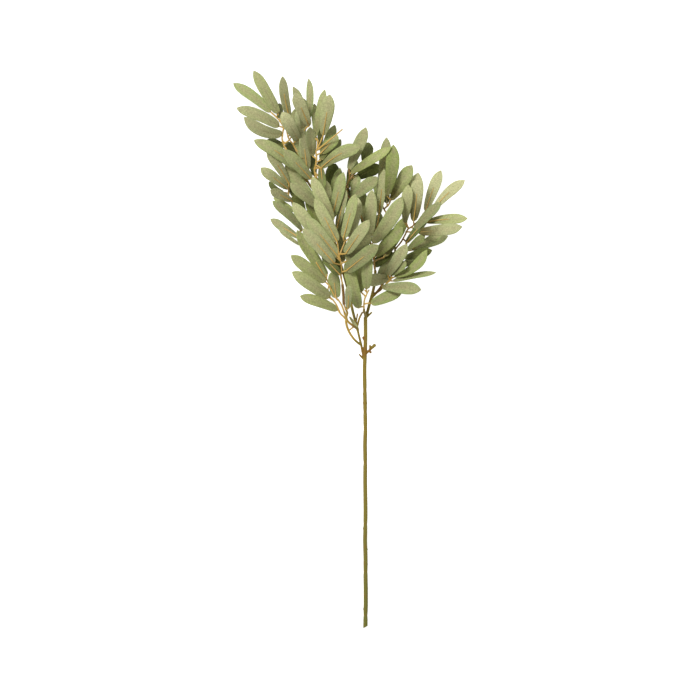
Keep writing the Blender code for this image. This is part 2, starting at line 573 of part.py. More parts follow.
def main():
    for old in list(bpy.data.objects):
        bpy.data.objects.remove(old)
    home = bpy.data.collections.new("willow_stem")
    bpy.context.scene.collection.children.link(home)
    workshop = bpy.data.collections.new("cutters")
    bpy.context.scene.collection.children.link(workshop)
    leaf_material = new_material("leaf_fabric", (0.34, 0.37, 0.19), 0.8)
    stem_material = new_material("stem_bark", (0.22, 0.18, 0.06), 0.6)

    blades = [Blade(row, name, spray) for name, spray in SPRAYS.items() for row in spray.leaves]
    rods = []
    for name, spray in SPRAYS.items():
        for number, twig in enumerate(spray.twigs):
            rods.append((line_points(twig, spray.carries.get(number)), TWIG_RADIUS, spray.rank, name))
    for arm in ARMS:
        radius = max(arm.start_radius, arm.end_radius)
        rods.append((line_points(arm.points, arm.carries), radius, arm.rank, "main_stem"))
    settle(blades, rods)

    build_stem(stem_material, home, workshop)
    for name, spray in SPRAYS.items():
        build_spray(name, spray, [b for b in blades if b.spray_name == name], leaf_material, home, workshop)
    return blades


if __name__ == "__main__":
    main()
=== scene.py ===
"""Looks of the willow stem: cloth leaves with moulded ribs, moulded twigs and a moulded bark stem, laid flat.

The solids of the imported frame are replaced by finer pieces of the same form, on the same places. Lengths are
in metres and +Z is up; the camera looks straight down on the stem.
"""

import math
import random
from collections import namedtuple

import bpy
import numpy as np
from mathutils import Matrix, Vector


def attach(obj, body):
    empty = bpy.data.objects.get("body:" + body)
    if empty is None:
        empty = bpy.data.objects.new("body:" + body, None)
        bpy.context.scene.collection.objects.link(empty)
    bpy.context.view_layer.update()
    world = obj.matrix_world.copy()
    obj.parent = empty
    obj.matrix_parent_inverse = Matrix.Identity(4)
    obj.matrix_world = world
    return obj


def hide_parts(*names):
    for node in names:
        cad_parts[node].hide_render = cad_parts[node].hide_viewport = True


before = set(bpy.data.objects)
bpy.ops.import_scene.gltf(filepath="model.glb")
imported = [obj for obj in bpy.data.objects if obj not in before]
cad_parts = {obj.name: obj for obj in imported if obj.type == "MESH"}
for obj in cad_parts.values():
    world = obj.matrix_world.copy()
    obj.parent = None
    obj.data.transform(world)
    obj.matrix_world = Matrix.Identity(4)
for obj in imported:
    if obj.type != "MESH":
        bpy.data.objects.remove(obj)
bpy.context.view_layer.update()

bl_info = {
    "name": "Willow stem",
    "version": (1, 0, 0),
    "blender": (4, 5, 0),
    "location": "3D View > Sidebar > Willow",
    "description": "Builds a leafy willow stem that lies on a pale floor",
    "category": "Object",
}

# Driving dimensions, in metres
OVERALL_LENGTH = 0.838          # cut end to the highest leaf tip
LEAF_LENGTH = 0.072             # a leaf that is seen at its full length
LEAF_FULL_WIDTH = 0.0188        # a leaf that faces up
LEAF_THICKNESS = 0.0008         # of a leaf of the solids, which settling goes by
STEM_RADIUS = 0.00265
ARM_RADIUS = 0.0021
SIDE_ARM_RADIUS = 0.0018
TWIG_RADIUS = 0.0015
TWIG_TIP_RADIUS = 0.0011
PRONG_RADIUS = 0.00105
SEAT_GAP = 0.0003               # between the end of an arm and the twig seated on it
WELD = 0.00002                  # merges a rod's caps with its wall
SEAT_STRAIGHT = 0.0045          # the end of an arm that is in line with its twig

# How the leaves rise from their twigs
LEAF_CLEARANCE = 0.0034         # upright distance kept between two leaves that lie over each other
TIP_LIFT = 0.00069              # middle of a leaf tip that touches the surface
RANK_HEIGHT = 0.0155            # how much higher the tip of each next rank of leaf starts
RANK_FLOOR = 0.006
RANK_SHARE = 0.5                # share of the way to its rank's height that a tip goes at first
SHORT_SHARE = 0.45              # share of its missing plan length that a leaf rises or falls at first
FIRST_BASE = 0.001
FIRST_ARCH = 0.004
FIRST_RISE_LIMIT = 0.040
LOWEST_SHAPE = (-0.007, -0.075, -0.014)     # limits of a leaf's base height, rise and arch
HIGHEST_SHAPE = (0.007, 0.075, 0.020)
LARGEST_ROLL = math.radians(38)
ROOT_MARGIN = 0.15              # share of a stretch of twig, at each end, that carries no leaf
ROOT_SETBACK = 0.004            # a leaf is rooted on the twig nearest to this far behind its base

# Settling
SETTLE_TURNS = 160
EASE_TURNS = 110                # turns in which leaves also ease back to their first shape
EASE = 0.02
FREE_BASE = 0.16                # share of a leaf, from its base, that isn't kept clear of other leaves
FREE_ON_TWIG = 0.12             # the same for arms and for the twigs of other sprays
FREE_ON_OWN_TWIG = 0.34         # and for the twigs of the leaf's own spray
PULL = (0.6, 1.0, 0.7)          # how readily base height, rise and arch give way
STATIONS = 40                   # steps along a leaf at which its height is read, from a tenth of the way on
STATIONS_ACROSS = (-1.0, -0.6, -0.3, 0.0, 0.3, 0.6, 1.0)
FLOOR_STATIONS = (0.3, 0.65, 1.0)                   # places along a leaf that are kept off the surface
ROD_STRIDE = 0.4                # share of a plan square between the readings along an arm or twig

# Half width of a leaf of the solids, as a share of its most, at stops from its base to its tip
WIDTH_STOPS = (0.0, 0.05, 0.15, 0.35, 0.55, 0.72, 0.86, 0.94, 1.0)
WIDTH_SHARES = (0.32, 0.56, 0.74, 0.94, 1.00, 0.91, 0.64, 0.36, 0.06)

# Plan places are read off the photograph, in its pixels: u to the right and v down.
PLAN_TOP_V = 70.0               # the highest leaf tip
PLAN_CUT_V = 628.5              # the cut end
PLAN_MIDDLE_U = 350.0
PLAN_MIDDLE_V = 349.4
STEP = OVERALL_LENGTH / (PLAN_CUT_V - PLAN_TOP_V)
CELL = 2.2 * STEP               # side of the plan squares that settling compares heights in

# The two faces that a leaf can turn up
RIB = "rib"
PLAIN = "plain"

# A leaf row: plan tip, plan base, width seen (px), rank from the surface up (0 low, 9 high), sideways bend
# (px), the face that is up, and two marks from 0 to TOP_MARK: its tone, from deep olive to pale grey green,
# partly the cloth's own and partly painted light and shade, and how far painted shade darkens its base
TOP_MARK = 9
Leaf = namedtuple("Leaf", "tip_u tip_v base_u base_v wide rank bend face tone dye", defaults=(0,))
# A spray: its twigs as (u, v, height in mm) points, the rank of its twigs, its leaves, and which of its twigs
# carries another spray on its end
Spray = namedtuple("Spray", "twigs rank leaves carries", defaults=({},))

SPRAYS = {
    "spray_upper_left": Spray(
        twigs=[[(285.5, 150, 52), (283.5, 144, 53), (282, 138, 54), (283, 131, 54), (283, 126, 53),
                (279, 120, 52), (275, 115.5, 51)],
               [(282.7, 131, 54), (286, 124, 56), (288.5, 118.5, 57)],
               [(283.5, 144, 53), (289, 140, 55), (291, 137, 56)],
               [(284, 145.5, 53), (289, 154, 57), (293, 162, 59), (299, 171, 60)]],
        rank=4.5,
        leaves=[Leaf(232.7, 82, 270.5, 111.5, 11, 0, -1.5, PLAIN, 5),
                Leaf(253.5, 70.5, 278, 113, 11.5, 4.4, 0, PLAIN, 7),
                Leaf(236.5, 108, 279, 126, 11.5, 5.0, -2, PLAIN, 7),
                Leaf(244, 117.5, 282, 134.5, 12.5, 6.0, 4.5, PLAIN, 7),
                Leaf(282.5, 76.5, 289, 116, 9.5, 5.0, 1.2, RIB, 8),
                Leaf(279, 102.5, 280, 118, 7, 2.0, 0, PLAIN, 1),
                Leaf(267, 139, 284, 147, 8.5, 2.0, 0, PLAIN, 0),
                Leaf(254, 140, 297, 169, 13, 6.0, -3, RIB, 6),
                Leaf(303, 160, 286, 143, 9, 1.5, 0, PLAIN, 1)]),
    "spray_upper_middle": Spray(
        twigs=[[(297, 152, 58), (293, 144, 60), (289, 139, 61), (286.5, 131, 62)],
               [(293, 144, 60), (301, 134, 62), (306, 128, 63), (307.5, 123, 64)],
               [(294, 146, 60), (300, 156, 65), (305, 166, 64), (307.5, 172.5, 63)],
               [(296.5, 139.4, 61.2), (300.8, 142, 62)]],
        rank=4.0,
        leaves=[Leaf(282, 112.5, 299, 141, 13, 7.0, 0, PLAIN, 8),
                Leaf(293, 86.5, 303, 128, 9, 4.0, -3, PLAIN, 6),
                Leaf(295, 93.5, 309, 126, 12.8, 6.2, 0, RIB, 9),
                Leaf(308.5, 78, 308, 120, 7.5, 3.5, -1.7, PLAIN, 5),
                Leaf(303.5, 97.5, 307, 122, 6, 2.0, 0, PLAIN, 2),
                Leaf(303, 133, 307, 170, 11, 4.8, 0, RIB, 7, 3),
                Leaf(294.5, 108, 291, 133, 7, 2.4, 0, PLAIN, 4),
                Leaf(298, 108, 303, 137, 10, 3.0, 0, PLAIN, 6),
                Leaf(294, 128, 303, 158, 9, 2.6, 0, PLAIN, 6)]),
    "spray_top": Spray(
        twigs=[[(316.5, 178, 70), (314.5, 171, 73), (316, 164, 76), (316.5, 157, 78), (316, 152, 79),
                (317, 148.5, 80), (318, 140, 80)],
               [(317, 149, 80), (320.5, 142, 82), (322.5, 137, 82)],
               [(315, 172.5, 73), (321.5, 180, 68), (327, 194, 60), (330.5, 207, 58)],
               [(317, 150.5, 80), (330, 140, 88), (342.5, 129.5, 90)]],
        rank=5.0,
        leaves=[Leaf(330, 95, 323, 135.5, 14.5, 6.0, 0, RIB, 7),
                Leaf(325, 89.5, 314.5, 137, 9, 5.0, 0, PLAIN, 6, 3),
                Leaf(314.3, 103, 316, 136.5, 7, 3.0, 0, PLAIN, 4),
                Leaf(310.3, 127.5, 312.5, 156, 11, 5.0, 0, PLAIN, 6, 5),
                Leaf(361, 146.5, 321, 168, 14, 7.0, 3, RIB, 6, 3),
                Leaf(335, 124.5, 321, 160, 10, 3.0, 0, PLAIN, 3, 3),
                Leaf(338, 135.5, 321, 153, 12, 4.9, 0, RIB, 5, 4),
                Leaf(323, 189, 321, 168, 8, 5.6, 0, RIB, 3, 2),
                Leaf(335.5, 163, 327, 190, 14, 2.0, 0, PLAIN, 0),
                Leaf(340, 167.5, 330, 205, 10, 2.4, 0, PLAIN, 4),
                Leaf(284, 150, 311, 179, 13, 6.6, 0, RIB, 6),
                Leaf(321, 114, 320, 148, 7, 1.8, 0, PLAIN, 1),
                Leaf(311, 153, 314.5, 176, 8, 2.0, 0, PLAIN, 0),
                Leaf(341, 139, 318, 167, 11, 2.6, 0, PLAIN, 2)]),
    "spray_middle_left": Spray(
        twigs=[[(292, 201.5, 58), (289, 197, 61), (288.5, 190, 63), (289, 184, 64)],
               [(290, 198.5, 60), (297, 196.5, 62)],
               [(290, 198.5, 60), (294, 205, 63), (300, 220, 62), (300, 236, 58), (301, 247, 56)]],
        rank=4.8,
        leaves=[Leaf(267, 151, 289, 184, 10, 5.0, -1, RIB, 7),
                Leaf(261, 168, 288, 189, 11, 5.5, 0, RIB, 7),
                Leaf(268.5, 181, 283, 192, 6, 1.6, 2, PLAIN, 1),
                Leaf(270.5, 190, 292, 201, 10, 5.2, 0, RIB, 7, 2),
                Leaf(273, 197.5, 298, 213, 6, 4.2, 0, PLAIN, 5),
                Leaf(272.5, 201, 302, 230, 9.5, 5.3, -1.5, PLAIN, 5),
                Leaf(270, 218.5, 300, 238, 9, 0, 0, RIB, 5, 1),
                Leaf(279, 230, 300, 245, 4, 3.2, 0, PLAIN, 5),
                Leaf(290, 175, 295, 198, 11, 2.5, 0, PLAIN, 1),
                Leaf(294, 194, 304, 217, 13, 2.8, 0, PLAIN, 1)]),
    "spray_middle": Spray(
        twigs=[[(325.5, 237, 52), (322, 226, 60), (319.5, 211, 65)]],
        rank=4.6,
        leaves=[Leaf(290.5, 183, 318, 207, 12, 5.6, 0, PLAIN, 7),
                Leaf(306, 197, 324, 233, 10, 3.4, 0, PLAIN, 4),
                Leaf(285, 165, 316, 203, 12, 4.4, 0, PLAIN, 5)]),
    "spray_middle_back": Spray(
        twigs=[[(338, 245, 78), (336.5, 236, 82), (335, 228, 84), (332, 218, 86)]],
        rank=5.0,
        leaves=[Leaf(343.5, 172.5, 332, 218, 12, 6.0, 0, RIB, 5),
                Leaf(326.5, 181, 331, 220, 9, 5.3, 0, PLAIN, 8),
                Leaf(346, 190, 337, 228, 7.5, 5.6, 0, RIB, 6, 2),
                Leaf(344, 212, 339, 240, 10, 3.2, 0, PLAIN, 2)]),
    "spray_middle_front": Spray(
        twigs=[[(346.3, 310.2, 92), (344, 304, 96), (343.5, 295, 102), (342.5, 285, 107), (341, 276, 112),
                (341.5, 270, 115), (341, 263, 118), (339.5, 258, 120), (338.5, 254, 121), (338, 247, 121),
                (336, 237, 120), (333.5, 227, 119)],
               [(339, 256, 120.5), (343, 247, 118), (345, 241, 117)],
               [(340.7, 261.5, 118.5), (332, 253, 116), (325, 246, 114)]],
        rank=7.0,
        leaves=[Leaf(312.5, 177, 332, 222, 12.5, 6.8, 0, PLAIN, 7, 4),
                Leaf(315, 199, 337, 242, 12.5, 7.6, 0, RIB, 7, 2),
                Leaf(355.5, 194.5, 343.5, 238.5, 11, 7.6, 0, RIB, 6),
                Leaf(358, 198, 350, 238, 13, 6.9, 0, PLAIN, 8),
                Leaf(369, 220.5, 345.5, 254, 12, 8.0, 0, RIB, 6, 1),
                Leaf(293, 202.5, 322, 243, 13, 7.2, 0, PLAIN, 7),
                Leaf(306, 217, 338, 257, 13, 8.0, 0, RIB, 6),
                Leaf(303, 229, 334.5, 263.5, 13, 8.4, 0, RIB, 6),
                Leaf(322, 256, 340, 275, 9, 6.9, 0, RIB, 2),
                Leaf(378.5, 245.5, 346, 271, 14, 8.2, 0, RIB, 4),
                Leaf(349, 285, 348, 309, 7, 7.1, 0, RIB, 5),
                Leaf(371, 233, 347, 261, 13, 6.4, 0, PLAIN, 3),
                Leaf(341, 229, 343, 262, 9, 6.2, 0, PLAIN, 3, 5),
                Leaf(333, 256, 341, 275, 8, 6.3, 0, PLAIN, 0)]),
    "spray_east": Spray(
        twigs=[[(350, 199, 68), (345.5, 190, 72), (347.5, 184, 74), (349.5, 178, 76), (349, 169, 78)],
               [(348.6, 181, 75), (356, 172, 75), (362, 166, 73)]],
        rank=5.0,
        leaves=[Leaf(366, 127.5, 349, 170, 12.5, 5.0, 0, PLAIN, 6),
                Leaf(391, 147.5, 351, 173, 10, 7.0, 0, PLAIN, 6, 3),
                Leaf(369, 142, 364, 163, 13, 4.0, 0, PLAIN, 1),
                Leaf(357, 160, 352, 175, 6, 2.0, 0, PLAIN, 1),
                Leaf(356.5, 174, 353.5, 198, 10, 4.9, 0, PLAIN, 5),
                Leaf(377.5, 177, 351.5, 198.5, 13, 6.0, 0, PLAIN, 5),
                Leaf(380.5, 165, 356, 178, 13, 3.0, 0, PLAIN, 0),
                Leaf(349, 212, 348, 188, 7, 2.2, 0, PLAIN, 0),
                Leaf(351, 165, 347.5, 190, 6, 1.8, 0, PLAIN, 0)]),
    "spray_right_top": Spray(
        twigs=[[(386.5, 213, 62), (384, 209, 62), (382, 204, 61), (381.5, 196, 60), (380.5, 186, 60)],
               [(384, 209, 62), (389, 204, 71), (390.5, 199, 80)]],
        rank=4.6,
        leaves=[Leaf(386.5, 137.5, 380, 182, 10.5, 5.6, -1, PLAIN, 6),
                Leaf(393.5, 145, 387, 196, 14, 6.6, -1.5, PLAIN, 4, 2),
                Leaf(412, 165.5, 391, 200, 14, 5.2, 0, PLAIN, 6, 7),
                Leaf(376, 177, 380.5, 203, 9, 2.4, 0, PLAIN, 4),
                Leaf(384, 184, 387, 203, 9, 2.8, 0, PLAIN, 0)]),
    "spray_right_middle": Spray(
        twigs=[[(375, 270, 62), (373.5, 257, 66), (371, 246, 68), (369.5, 238, 68), (361, 216, 67)],
               [(369.5, 238, 68), (378, 227, 65)],
               [(373.8, 262, 64.5), (379, 259, 65), (384, 257.5, 65)]],
        rank=4.4,
        leaves=[Leaf(384, 169.5, 379, 214.5, 9, 6.2, 0, RIB, 8),
                Leaf(372, 190, 369.5, 236, 12, 6.25, 0, PLAIN, 7, 2),
                Leaf(402, 197, 373, 243, 15, 7.0, -2, PLAIN, 6, 3),
                Leaf(406.5, 216.5, 384.5, 256, 12, 4.3, 0, PLAIN, 4, 7),
                Leaf(402.5, 227.5, 375.5, 256, 14, 5.6, 0, PLAIN, 5, 4),
                Leaf(381, 213, 373, 233, 9, 2.0, 0, PLAIN, 1),
                Leaf(391.5, 249.5, 374, 266, 11, 3.0, 0, PLAIN, 1),
                Leaf(361, 188, 366, 228, 11, 2.6, 0, PLAIN, 3)],
        carries={0: "spray_east", 1: "spray_right_top"}),
    "spray_right": Spray(
        twigs=[[(397, 247, 54), (401, 242, 56), (405, 235, 58), (408, 229, 60), (412, 226.5, 61),
                (420, 219, 61), (423.5, 213.5, 60)],
               [(419, 220, 61), (426, 216.5, 60), (431, 213, 60)],
               [(403, 238.5, 57), (406.5, 243, 57), (405.5, 252, 56)]],
        rank=4.5,
        leaves=[Leaf(408, 185, 405, 223, 11.5, 6.0, 0, PLAIN, 8, 3),
                Leaf(416.5, 173.5, 405, 219, 11, 4.45, 0, PLAIN, 7),
                Leaf(441.5, 169.5, 425.5, 211, 11.5, 0, 0.7, RIB, 8),
                Leaf(465, 180, 432, 211, 11, 4.4, 2, RIB, 9),
                Leaf(441, 202, 413, 232, 10, 5.2, 0.7, PLAIN, 4),
                Leaf(428, 216, 406, 243, 8, 5.0, 0, RIB, 2),
                Leaf(467.5, 218.5, 426, 222, 10.5, 4.8, 1, RIB, 7, 3),
                Leaf(462, 227, 418, 232, 12, 5.5, -1, PLAIN, 7, 8),
                Leaf(443, 233, 412, 250, 9, 4.0, 0, PLAIN, 5),
                Leaf(448.5, 235.5, 415, 248, 10, 0, 0, PLAIN, 6),
                Leaf(418, 172.5, 413.5, 221, 13, 5.6, -0.7, RIB, 8, 7),
                Leaf(425, 234.5, 406, 251, 7.5, 5.0, 0, PLAIN, 3)]),
    "spray_lower_right": Spray(
        twigs=[[(382, 288, 62), (386, 284, 64), (391, 279, 66), (392, 275, 67), (397, 269, 67),
                (401, 262.5, 66), (403.5, 259, 65)]],
        rank=5.0,
        leaves=[Leaf(406.5, 244.5, 388, 275, 12, 6.0, 0, PLAIN, 6),
                Leaf(406, 262, 391, 275, 9, 5.5, 0, PLAIN, 5),
                Leaf(366, 281, 391, 278, 13, 5.0, 0, PLAIN, 8),
                Leaf(421, 290, 382, 287, 13, 6.2, 0.8, PLAIN, 5),
                Leaf(436, 272.5, 393, 281, 6, 5.2, 1, PLAIN, 5),
                Leaf(427, 250, 394.5, 277, 10, 5.2, -5, PLAIN, 5),
                Leaf(432, 250.5, 404, 258, 10, 5.1, 0, PLAIN, 1),
                Leaf(418, 256, 402, 266, 9, 3.0, 0, PLAIN, 2),
                Leaf(396, 252, 379, 280, 14, 2.6, 0, PLAIN, 5)]),
    "spray_centre": Spray(
        twigs=[[(364, 308.6, 76), (364, 303.5, 79), (365, 298, 82), (367, 293, 84), (364.5, 290, 85)],
               [(367, 293, 84), (369, 290, 85)],
               [(364, 304, 79), (370, 303, 80)],
               [(364, 306.5, 77), (358, 307.5, 79)]],
        rank=6.4,
        leaves=[Leaf(346.5, 260, 358.5, 308, 12, 7.0, 0, PLAIN, 6),
                Leaf(403, 290, 371, 303.5, 12, 6.0, 0, PLAIN, 5),
                Leaf(367, 247, 366.5, 289, 12, 7.5, 0, PLAIN, 6),
                Leaf(357.5, 256, 361, 292, 9, 6.3, 0, PLAIN, 4)]),
    "spray_lower_left": Spray(
        twigs=[[(344, 317, 66), (340, 313, 68), (337, 306, 70), (333, 300, 71), (329, 297, 72),
                (328, 290, 73), (328.5, 283, 74), (322, 272, 75), (316, 262, 76)]],
        rank=6.0,
        leaves=[Leaf(292, 272, 330, 297, 13, 6.8, 0, PLAIN, 7),
                Leaf(300, 296, 337.5, 310, 11, 7.0, -1, PLAIN, 7),
                Leaf(297, 230, 326, 277, 11, 6.0, 1, PLAIN, 6),
                Leaf(309, 246, 327, 275, 7, 5.6, 0, RIB, 6)]),
    "spray_left": Spray(
        twigs=[[(344.2, 311.9, 84), (342, 306, 86), (339, 301, 87), (335.5, 297.5, 88), (332, 291, 89),
                (329, 285, 90)]],
        rank=6.6,
        leaves=[Leaf(291, 255.5, 325.5, 282, 12, 6.7, 0, PLAIN, 7, 2),
                Leaf(333, 271, 336, 298, 12, 6.2, 0, RIB, 5)]),
}

# The arms of the stem: (u, v, height in mm) points, radius at the start and the end, the spray that the arm
# carries, and the rank of the arm
Arm = namedtuple("Arm", "points start_radius end_radius carries rank")
ARMS = [
    Arm([(365.3, 628.5, 2.3), (365.4, 573, 9), (365.3, 525, 15), (365.2, 463, 25), (365, 412, 35),
         (364.8, 375, 42), (365.4, 357, 46), (366, 340, 50), (365.8, 317, 56)],
        STEM_RADIUS, ARM_RADIUS, None, 5.0),
    Arm([(365.8, 317, 56), (368, 310, 58), (370, 302, 60), (372, 295, 61), (374.5, 284, 61)],
        ARM_RADIUS, SIDE_ARM_RADIUS, "spray_right_middle", 4.6),
    Arm([(371.4, 298, 61), (376, 293, 61)], SIDE_ARM_RADIUS, TWIG_RADIUS, "spray_lower_right", 4.6),
    Arm([(374.5, 295, 61), (383, 283.5, 54), (391, 266, 51), (395, 255, 52)],
        TWIG_RADIUS, TWIG_RADIUS, "spray_right", 2.4),
    Arm([(365.8, 317, 56), (364.5, 312, 70)], SIDE_ARM_RADIUS, TWIG_RADIUS, "spray_centre", 5.4),
    Arm([(365, 359, 45), (363, 354, 48), (361, 344, 52), (359, 336, 56), (357, 327, 58), (354.5, 318, 56),
         (352.5, 310, 52), (349, 294, 46), (343, 272, 42), (336, 246, 42), (326, 219, 42), (319, 197, 50)],
        ARM_RADIUS, TWIG_RADIUS, "spray_top", 3.6),
    Arm([(336, 246, 42), (340, 255, 60)], TWIG_RADIUS, TWIG_RADIUS, "spray_middle_back", 3.0),
    Arm([(339, 258, 42), (330, 250, 44)], TWIG_RADIUS, TWIG_RADIUS, "spray_middle", 2.6),
    Arm([(326, 219, 42), (308, 212, 42), (298, 207, 48)], TWIG_RADIUS, TWIG_RADIUS, "spray_middle_left", 2.4),
    Arm([(319, 197, 50), (308, 182, 44), (300, 163, 48)],
        TWIG_RADIUS, TWIG_RADIUS, "spray_upper_middle", 2.4),
    Arm([(308, 182, 44), (296, 171, 38), (288, 159, 42)], TWIG_RADIUS, TWIG_RADIUS, "spray_upper_left", 2.0),
    Arm([(361, 345, 52), (357, 342, 56), (353.5, 338.5, 58), (350, 333.5, 60), (347.5, 328, 62),
         (346, 322, 64)],
        TWIG_RADIUS, TWIG_RADIUS, "spray_lower_left", 5.8),
    Arm([(357.5, 329, 58), (352, 325, 70), (347.5, 321, 76), (346.2, 317, 80)], TWIG_RADIUS, TWIG_RADIUS,
        "spray_left", 6.2),
    Arm([(346.2, 317, 80), (347, 314.5, 85)], TWIG_RADIUS, TWIG_RADIUS, "spray_middle_front", 6.4),
    Arm([(357, 327, 58), (359.5, 318, 68), (362.6, 312, 71)], TWIG_RADIUS, PRONG_RADIUS, None, 5.6),
]

# Short stubs, knobs and buds on the stem: two (u, v, height in mm) ends and a radius
STUBS = [
    [(367, 317, 56), (372, 312, 59), 0.0012],
    [(365, 341.5, 50), (362.7, 336.8, 51.5), 0.0014],
    [(365.5, 354, 46), (375, 345, 54), 0.0017],
    [(370, 349.5, 50), (370, 345, 55), 0.0013],
    [(364, 360, 45), (359, 354, 49), 0.0012],
    [(372.5, 347.3, 52), (375.3, 344.5, 54.5), 0.0023],
    [(369.5, 351.5, 49.5), (371.5, 352.8, 49.5), 0.0016],
    [(356, 323, 58), (357.5, 313.5, 62), 0.001],
    [(348.8, 330.5, 61.5), (353.5, 327, 68), 0.001],
]

# The small green bract at the fork of the left arm
BRACT_FOOT = (357, 328, 59)
BRACT_TIP = (349.5, 316.5)


def plan(u, v, height_mm=0.0):
    """A plan place in pixels and a height in millimetres, as a point in metres."""
    return Vector(((u - PLAN_MIDDLE_U) * STEP, (PLAN_MIDDLE_V - v) * STEP, height_mm * 0.001))


def half_width(t):
    """Half the width of a leaf at t (0 base, 1 tip), as a share of its largest half width."""
    return float(np.interp(t, WIDTH_STOPS, WIDTH_SHARES))


class Blade:
    """One leaf: a spine in plan, a height along it that settling moves, a width and a roll."""

    def __init__(self, row, spray_name, spray):
        self.rank = row.rank
        self.rib_up = row.face == RIB
        self.tone = row.tone / TOP_MARK
        self.dye = row.dye / TOP_MARK
        self.spray_name = spray_name
        self.base = plan(row.base_u, row.base_v)
        self.tip = plan(row.tip_u, row.tip_v)
        run = self.tip - self.base
        self.length = run.length
        self.axis = run.normalized()
        self.side = Vector((-self.axis.y, self.axis.x, 0.0))
        self.bend = row.bend * STEP
        seen = row.wide * STEP
        self.roll = math.acos(max(min(seen / LEAF_FULL_WIDTH, 1.0), math.cos(LARGEST_ROLL)))
        self.roll *= 1 if self.side.x * run.x > 0 else -1
        self.half = seen / 2 / math.cos(self.roll)
        self.root = nearest_on_twigs(self.base - self.axis * ROOT_SETBACK, spray.twigs)
        short = math.sqrt(max(LEAF_LENGTH ** 2 - self.length ** 2, 0.0)) * SHORT_SHARE
        toward = 1 if row.rank >= spray.rank else -1
        rise = RANK_SHARE * (RANK_FLOOR + RANK_HEIGHT * row.rank - self.root.z) + toward * short
        rise = min(max(rise, -FIRST_RISE_LIMIT), FIRST_RISE_LIMIT)
        # Height of the base over the root, height of the tip over the root, and arch of the middle
        self.shape = np.array([FIRST_BASE, rise, FIRST_ARCH])
        self.first_shape = self.shape.copy()

    def height(self, t):
        """Height of the spine at t."""
        return self.root.z + float(self.shape @ self.weights(t))

    @staticmethod
    def weights(t):
        """How much base height, rise and arch each count at t."""
        return np.array([1.0 - t, t, 4 * t * (1 - t)])

    def point(self, t, across):
        """A point of the leaf: t along it, and across from -1 to 1."""
        flat = self.base + self.axis * (self.length * t) + self.side * (self.bend * 4 * t * (1 - t))
        reach = across * self.half * half_width(t)
        flat += self.side * (reach * math.cos(self.roll))
        flat.z = self.height(t) + reach * math.sin(self.roll)
        return flat


def nearest_on_twigs(place, twigs):
    """The point on the middle line of the twigs that is nearest in plan."""
    best = None
    for twig in twigs:
        points = [plan(*p) for p in twig]
        for a, b in zip(points, points[1:]):
            line = (b - a).to_2d()
            share = (place.to_2d() - a.to_2d()).dot(line) / line.length_squared
            share = min(max(share, ROOT_MARGIN), 1 - ROOT_MARGIN)
            spot = a.lerp(b, share)
            far = (spot.to_2d() - place.to_2d()).length
            if best is None or far < best[0]:
                best = (far, spot)
    return best[1]


def leaf_cells(blade):
    """The plan squares that a leaf covers: square -> (t, height over the spine)."""
    found = {}
    for i in range(STATIONS // 10, STATIONS + 1):
        t = i / STATIONS
        for across in STATIONS_ACROSS:
            spot = blade.point(t, across)
            key = (round(spot.x / CELL), round(spot.y / CELL))
            found.setdefault(key, []).append((t, across * blade.half * half_width(t) * math.sin(blade.roll)))
    return {key: tuple(np.mean(rows, axis=0)) for key, rows in found.items()}


def rod_cells(points, radius):
    """The plan squares that a twig or arm covers: square -> height of its middle line."""
    found = {}
    for a, b in zip(points, points[1:]):
        count = max(int((b - a).length / (CELL * ROD_STRIDE)), 1)
        for i in range(count + 1):
            spot = a.lerp(b, i / count)
            for shift in (-radius, 0.0, radius):
                found[(round((spot.x + shift) / CELL), round(spot.y / CELL))] = spot.z
    return found


def settle(blades, rods):
    """Raises and lowers the leaves, upright only, until those that lie over each other are clear."""
    covers = [leaf_cells(blade) for blade in blades]
    pairs = []
    for i, upper in enumerate(blades):
        for j, lower in enumerate(blades):
            over = (upper.rank, i) > (lower.rank, j)
            shared = [key for key in covers[i] if key in covers[j]] if over else []
            shared = [key for key in shared if max(covers[i][key][0], covers[j][key][0]) > FREE_BASE]
            if shared:
                pairs.append((i, j, np.array([covers[i][key] for key in shared]),
                              np.array([covers[j][key] for key in shared])))
    rests = []
    for i, blade in enumerate(blades):
        for points, radius, rank, owner in rods:
            cells = rod_cells(points, radius)
            near = FREE_ON_OWN_TWIG if owner == blade.spray_name else FREE_ON_TWIG
            shared = [key for key in covers[i] if key in cells and covers[i][key][0] > near]
            if shared:
                side = 1 if blade.rank > rank else -1
                rests.append((i, side, radius, np.array([covers[i][key] for key in shared]),
                              np.array([cells[key] for key in shared])))
    for turn in range(SETTLE_TURNS):
        ease = EASE if turn < EASE_TURNS else 0.0
        for blade in blades:
            blade.shape += (blade.first_shape - blade.shape) * ease
        for i, j, at_i, at_j in pairs:
            gaps = heights(blades[i], at_i) - heights(blades[j], at_j)
            worst = int(np.argmin(gaps))
            if gaps[worst] < LEAF_CLEARANCE:
                push = (LEAF_CLEARANCE - gaps[worst]) / 2
                nudge(blades[i], at_i[worst][0], push)
                nudge(blades[j], at_j[worst][0], -push)
        for i, side, radius, at_i, middle in rests:
            gaps = side * (heights(blades[i], at_i) - middle) - radius
            worst = int(np.argmin(gaps))
            if gaps[worst] < LEAF_CLEARANCE:
                nudge(blades[i], at_i[worst][0], side * (LEAF_CLEARANCE - gaps[worst]))
        for i, blade in enumerate(blades):
            edge = abs(blade.half * math.sin(blade.roll))
            for t in FLOOR_STATIONS:
                lift = LEAF_THICKNESS / 2 + edge * half_width(t) - blade.height(t)
                if lift > 0:
                    nudge(blade, t, lift)
            if blade.rank == 0:
                nudge(blade, 1.0, TIP_LIFT - blade.height(1.0))
            blade.shape = np.clip(blade.shape, LOWEST_SHAPE, HIGHEST_SHAPE)


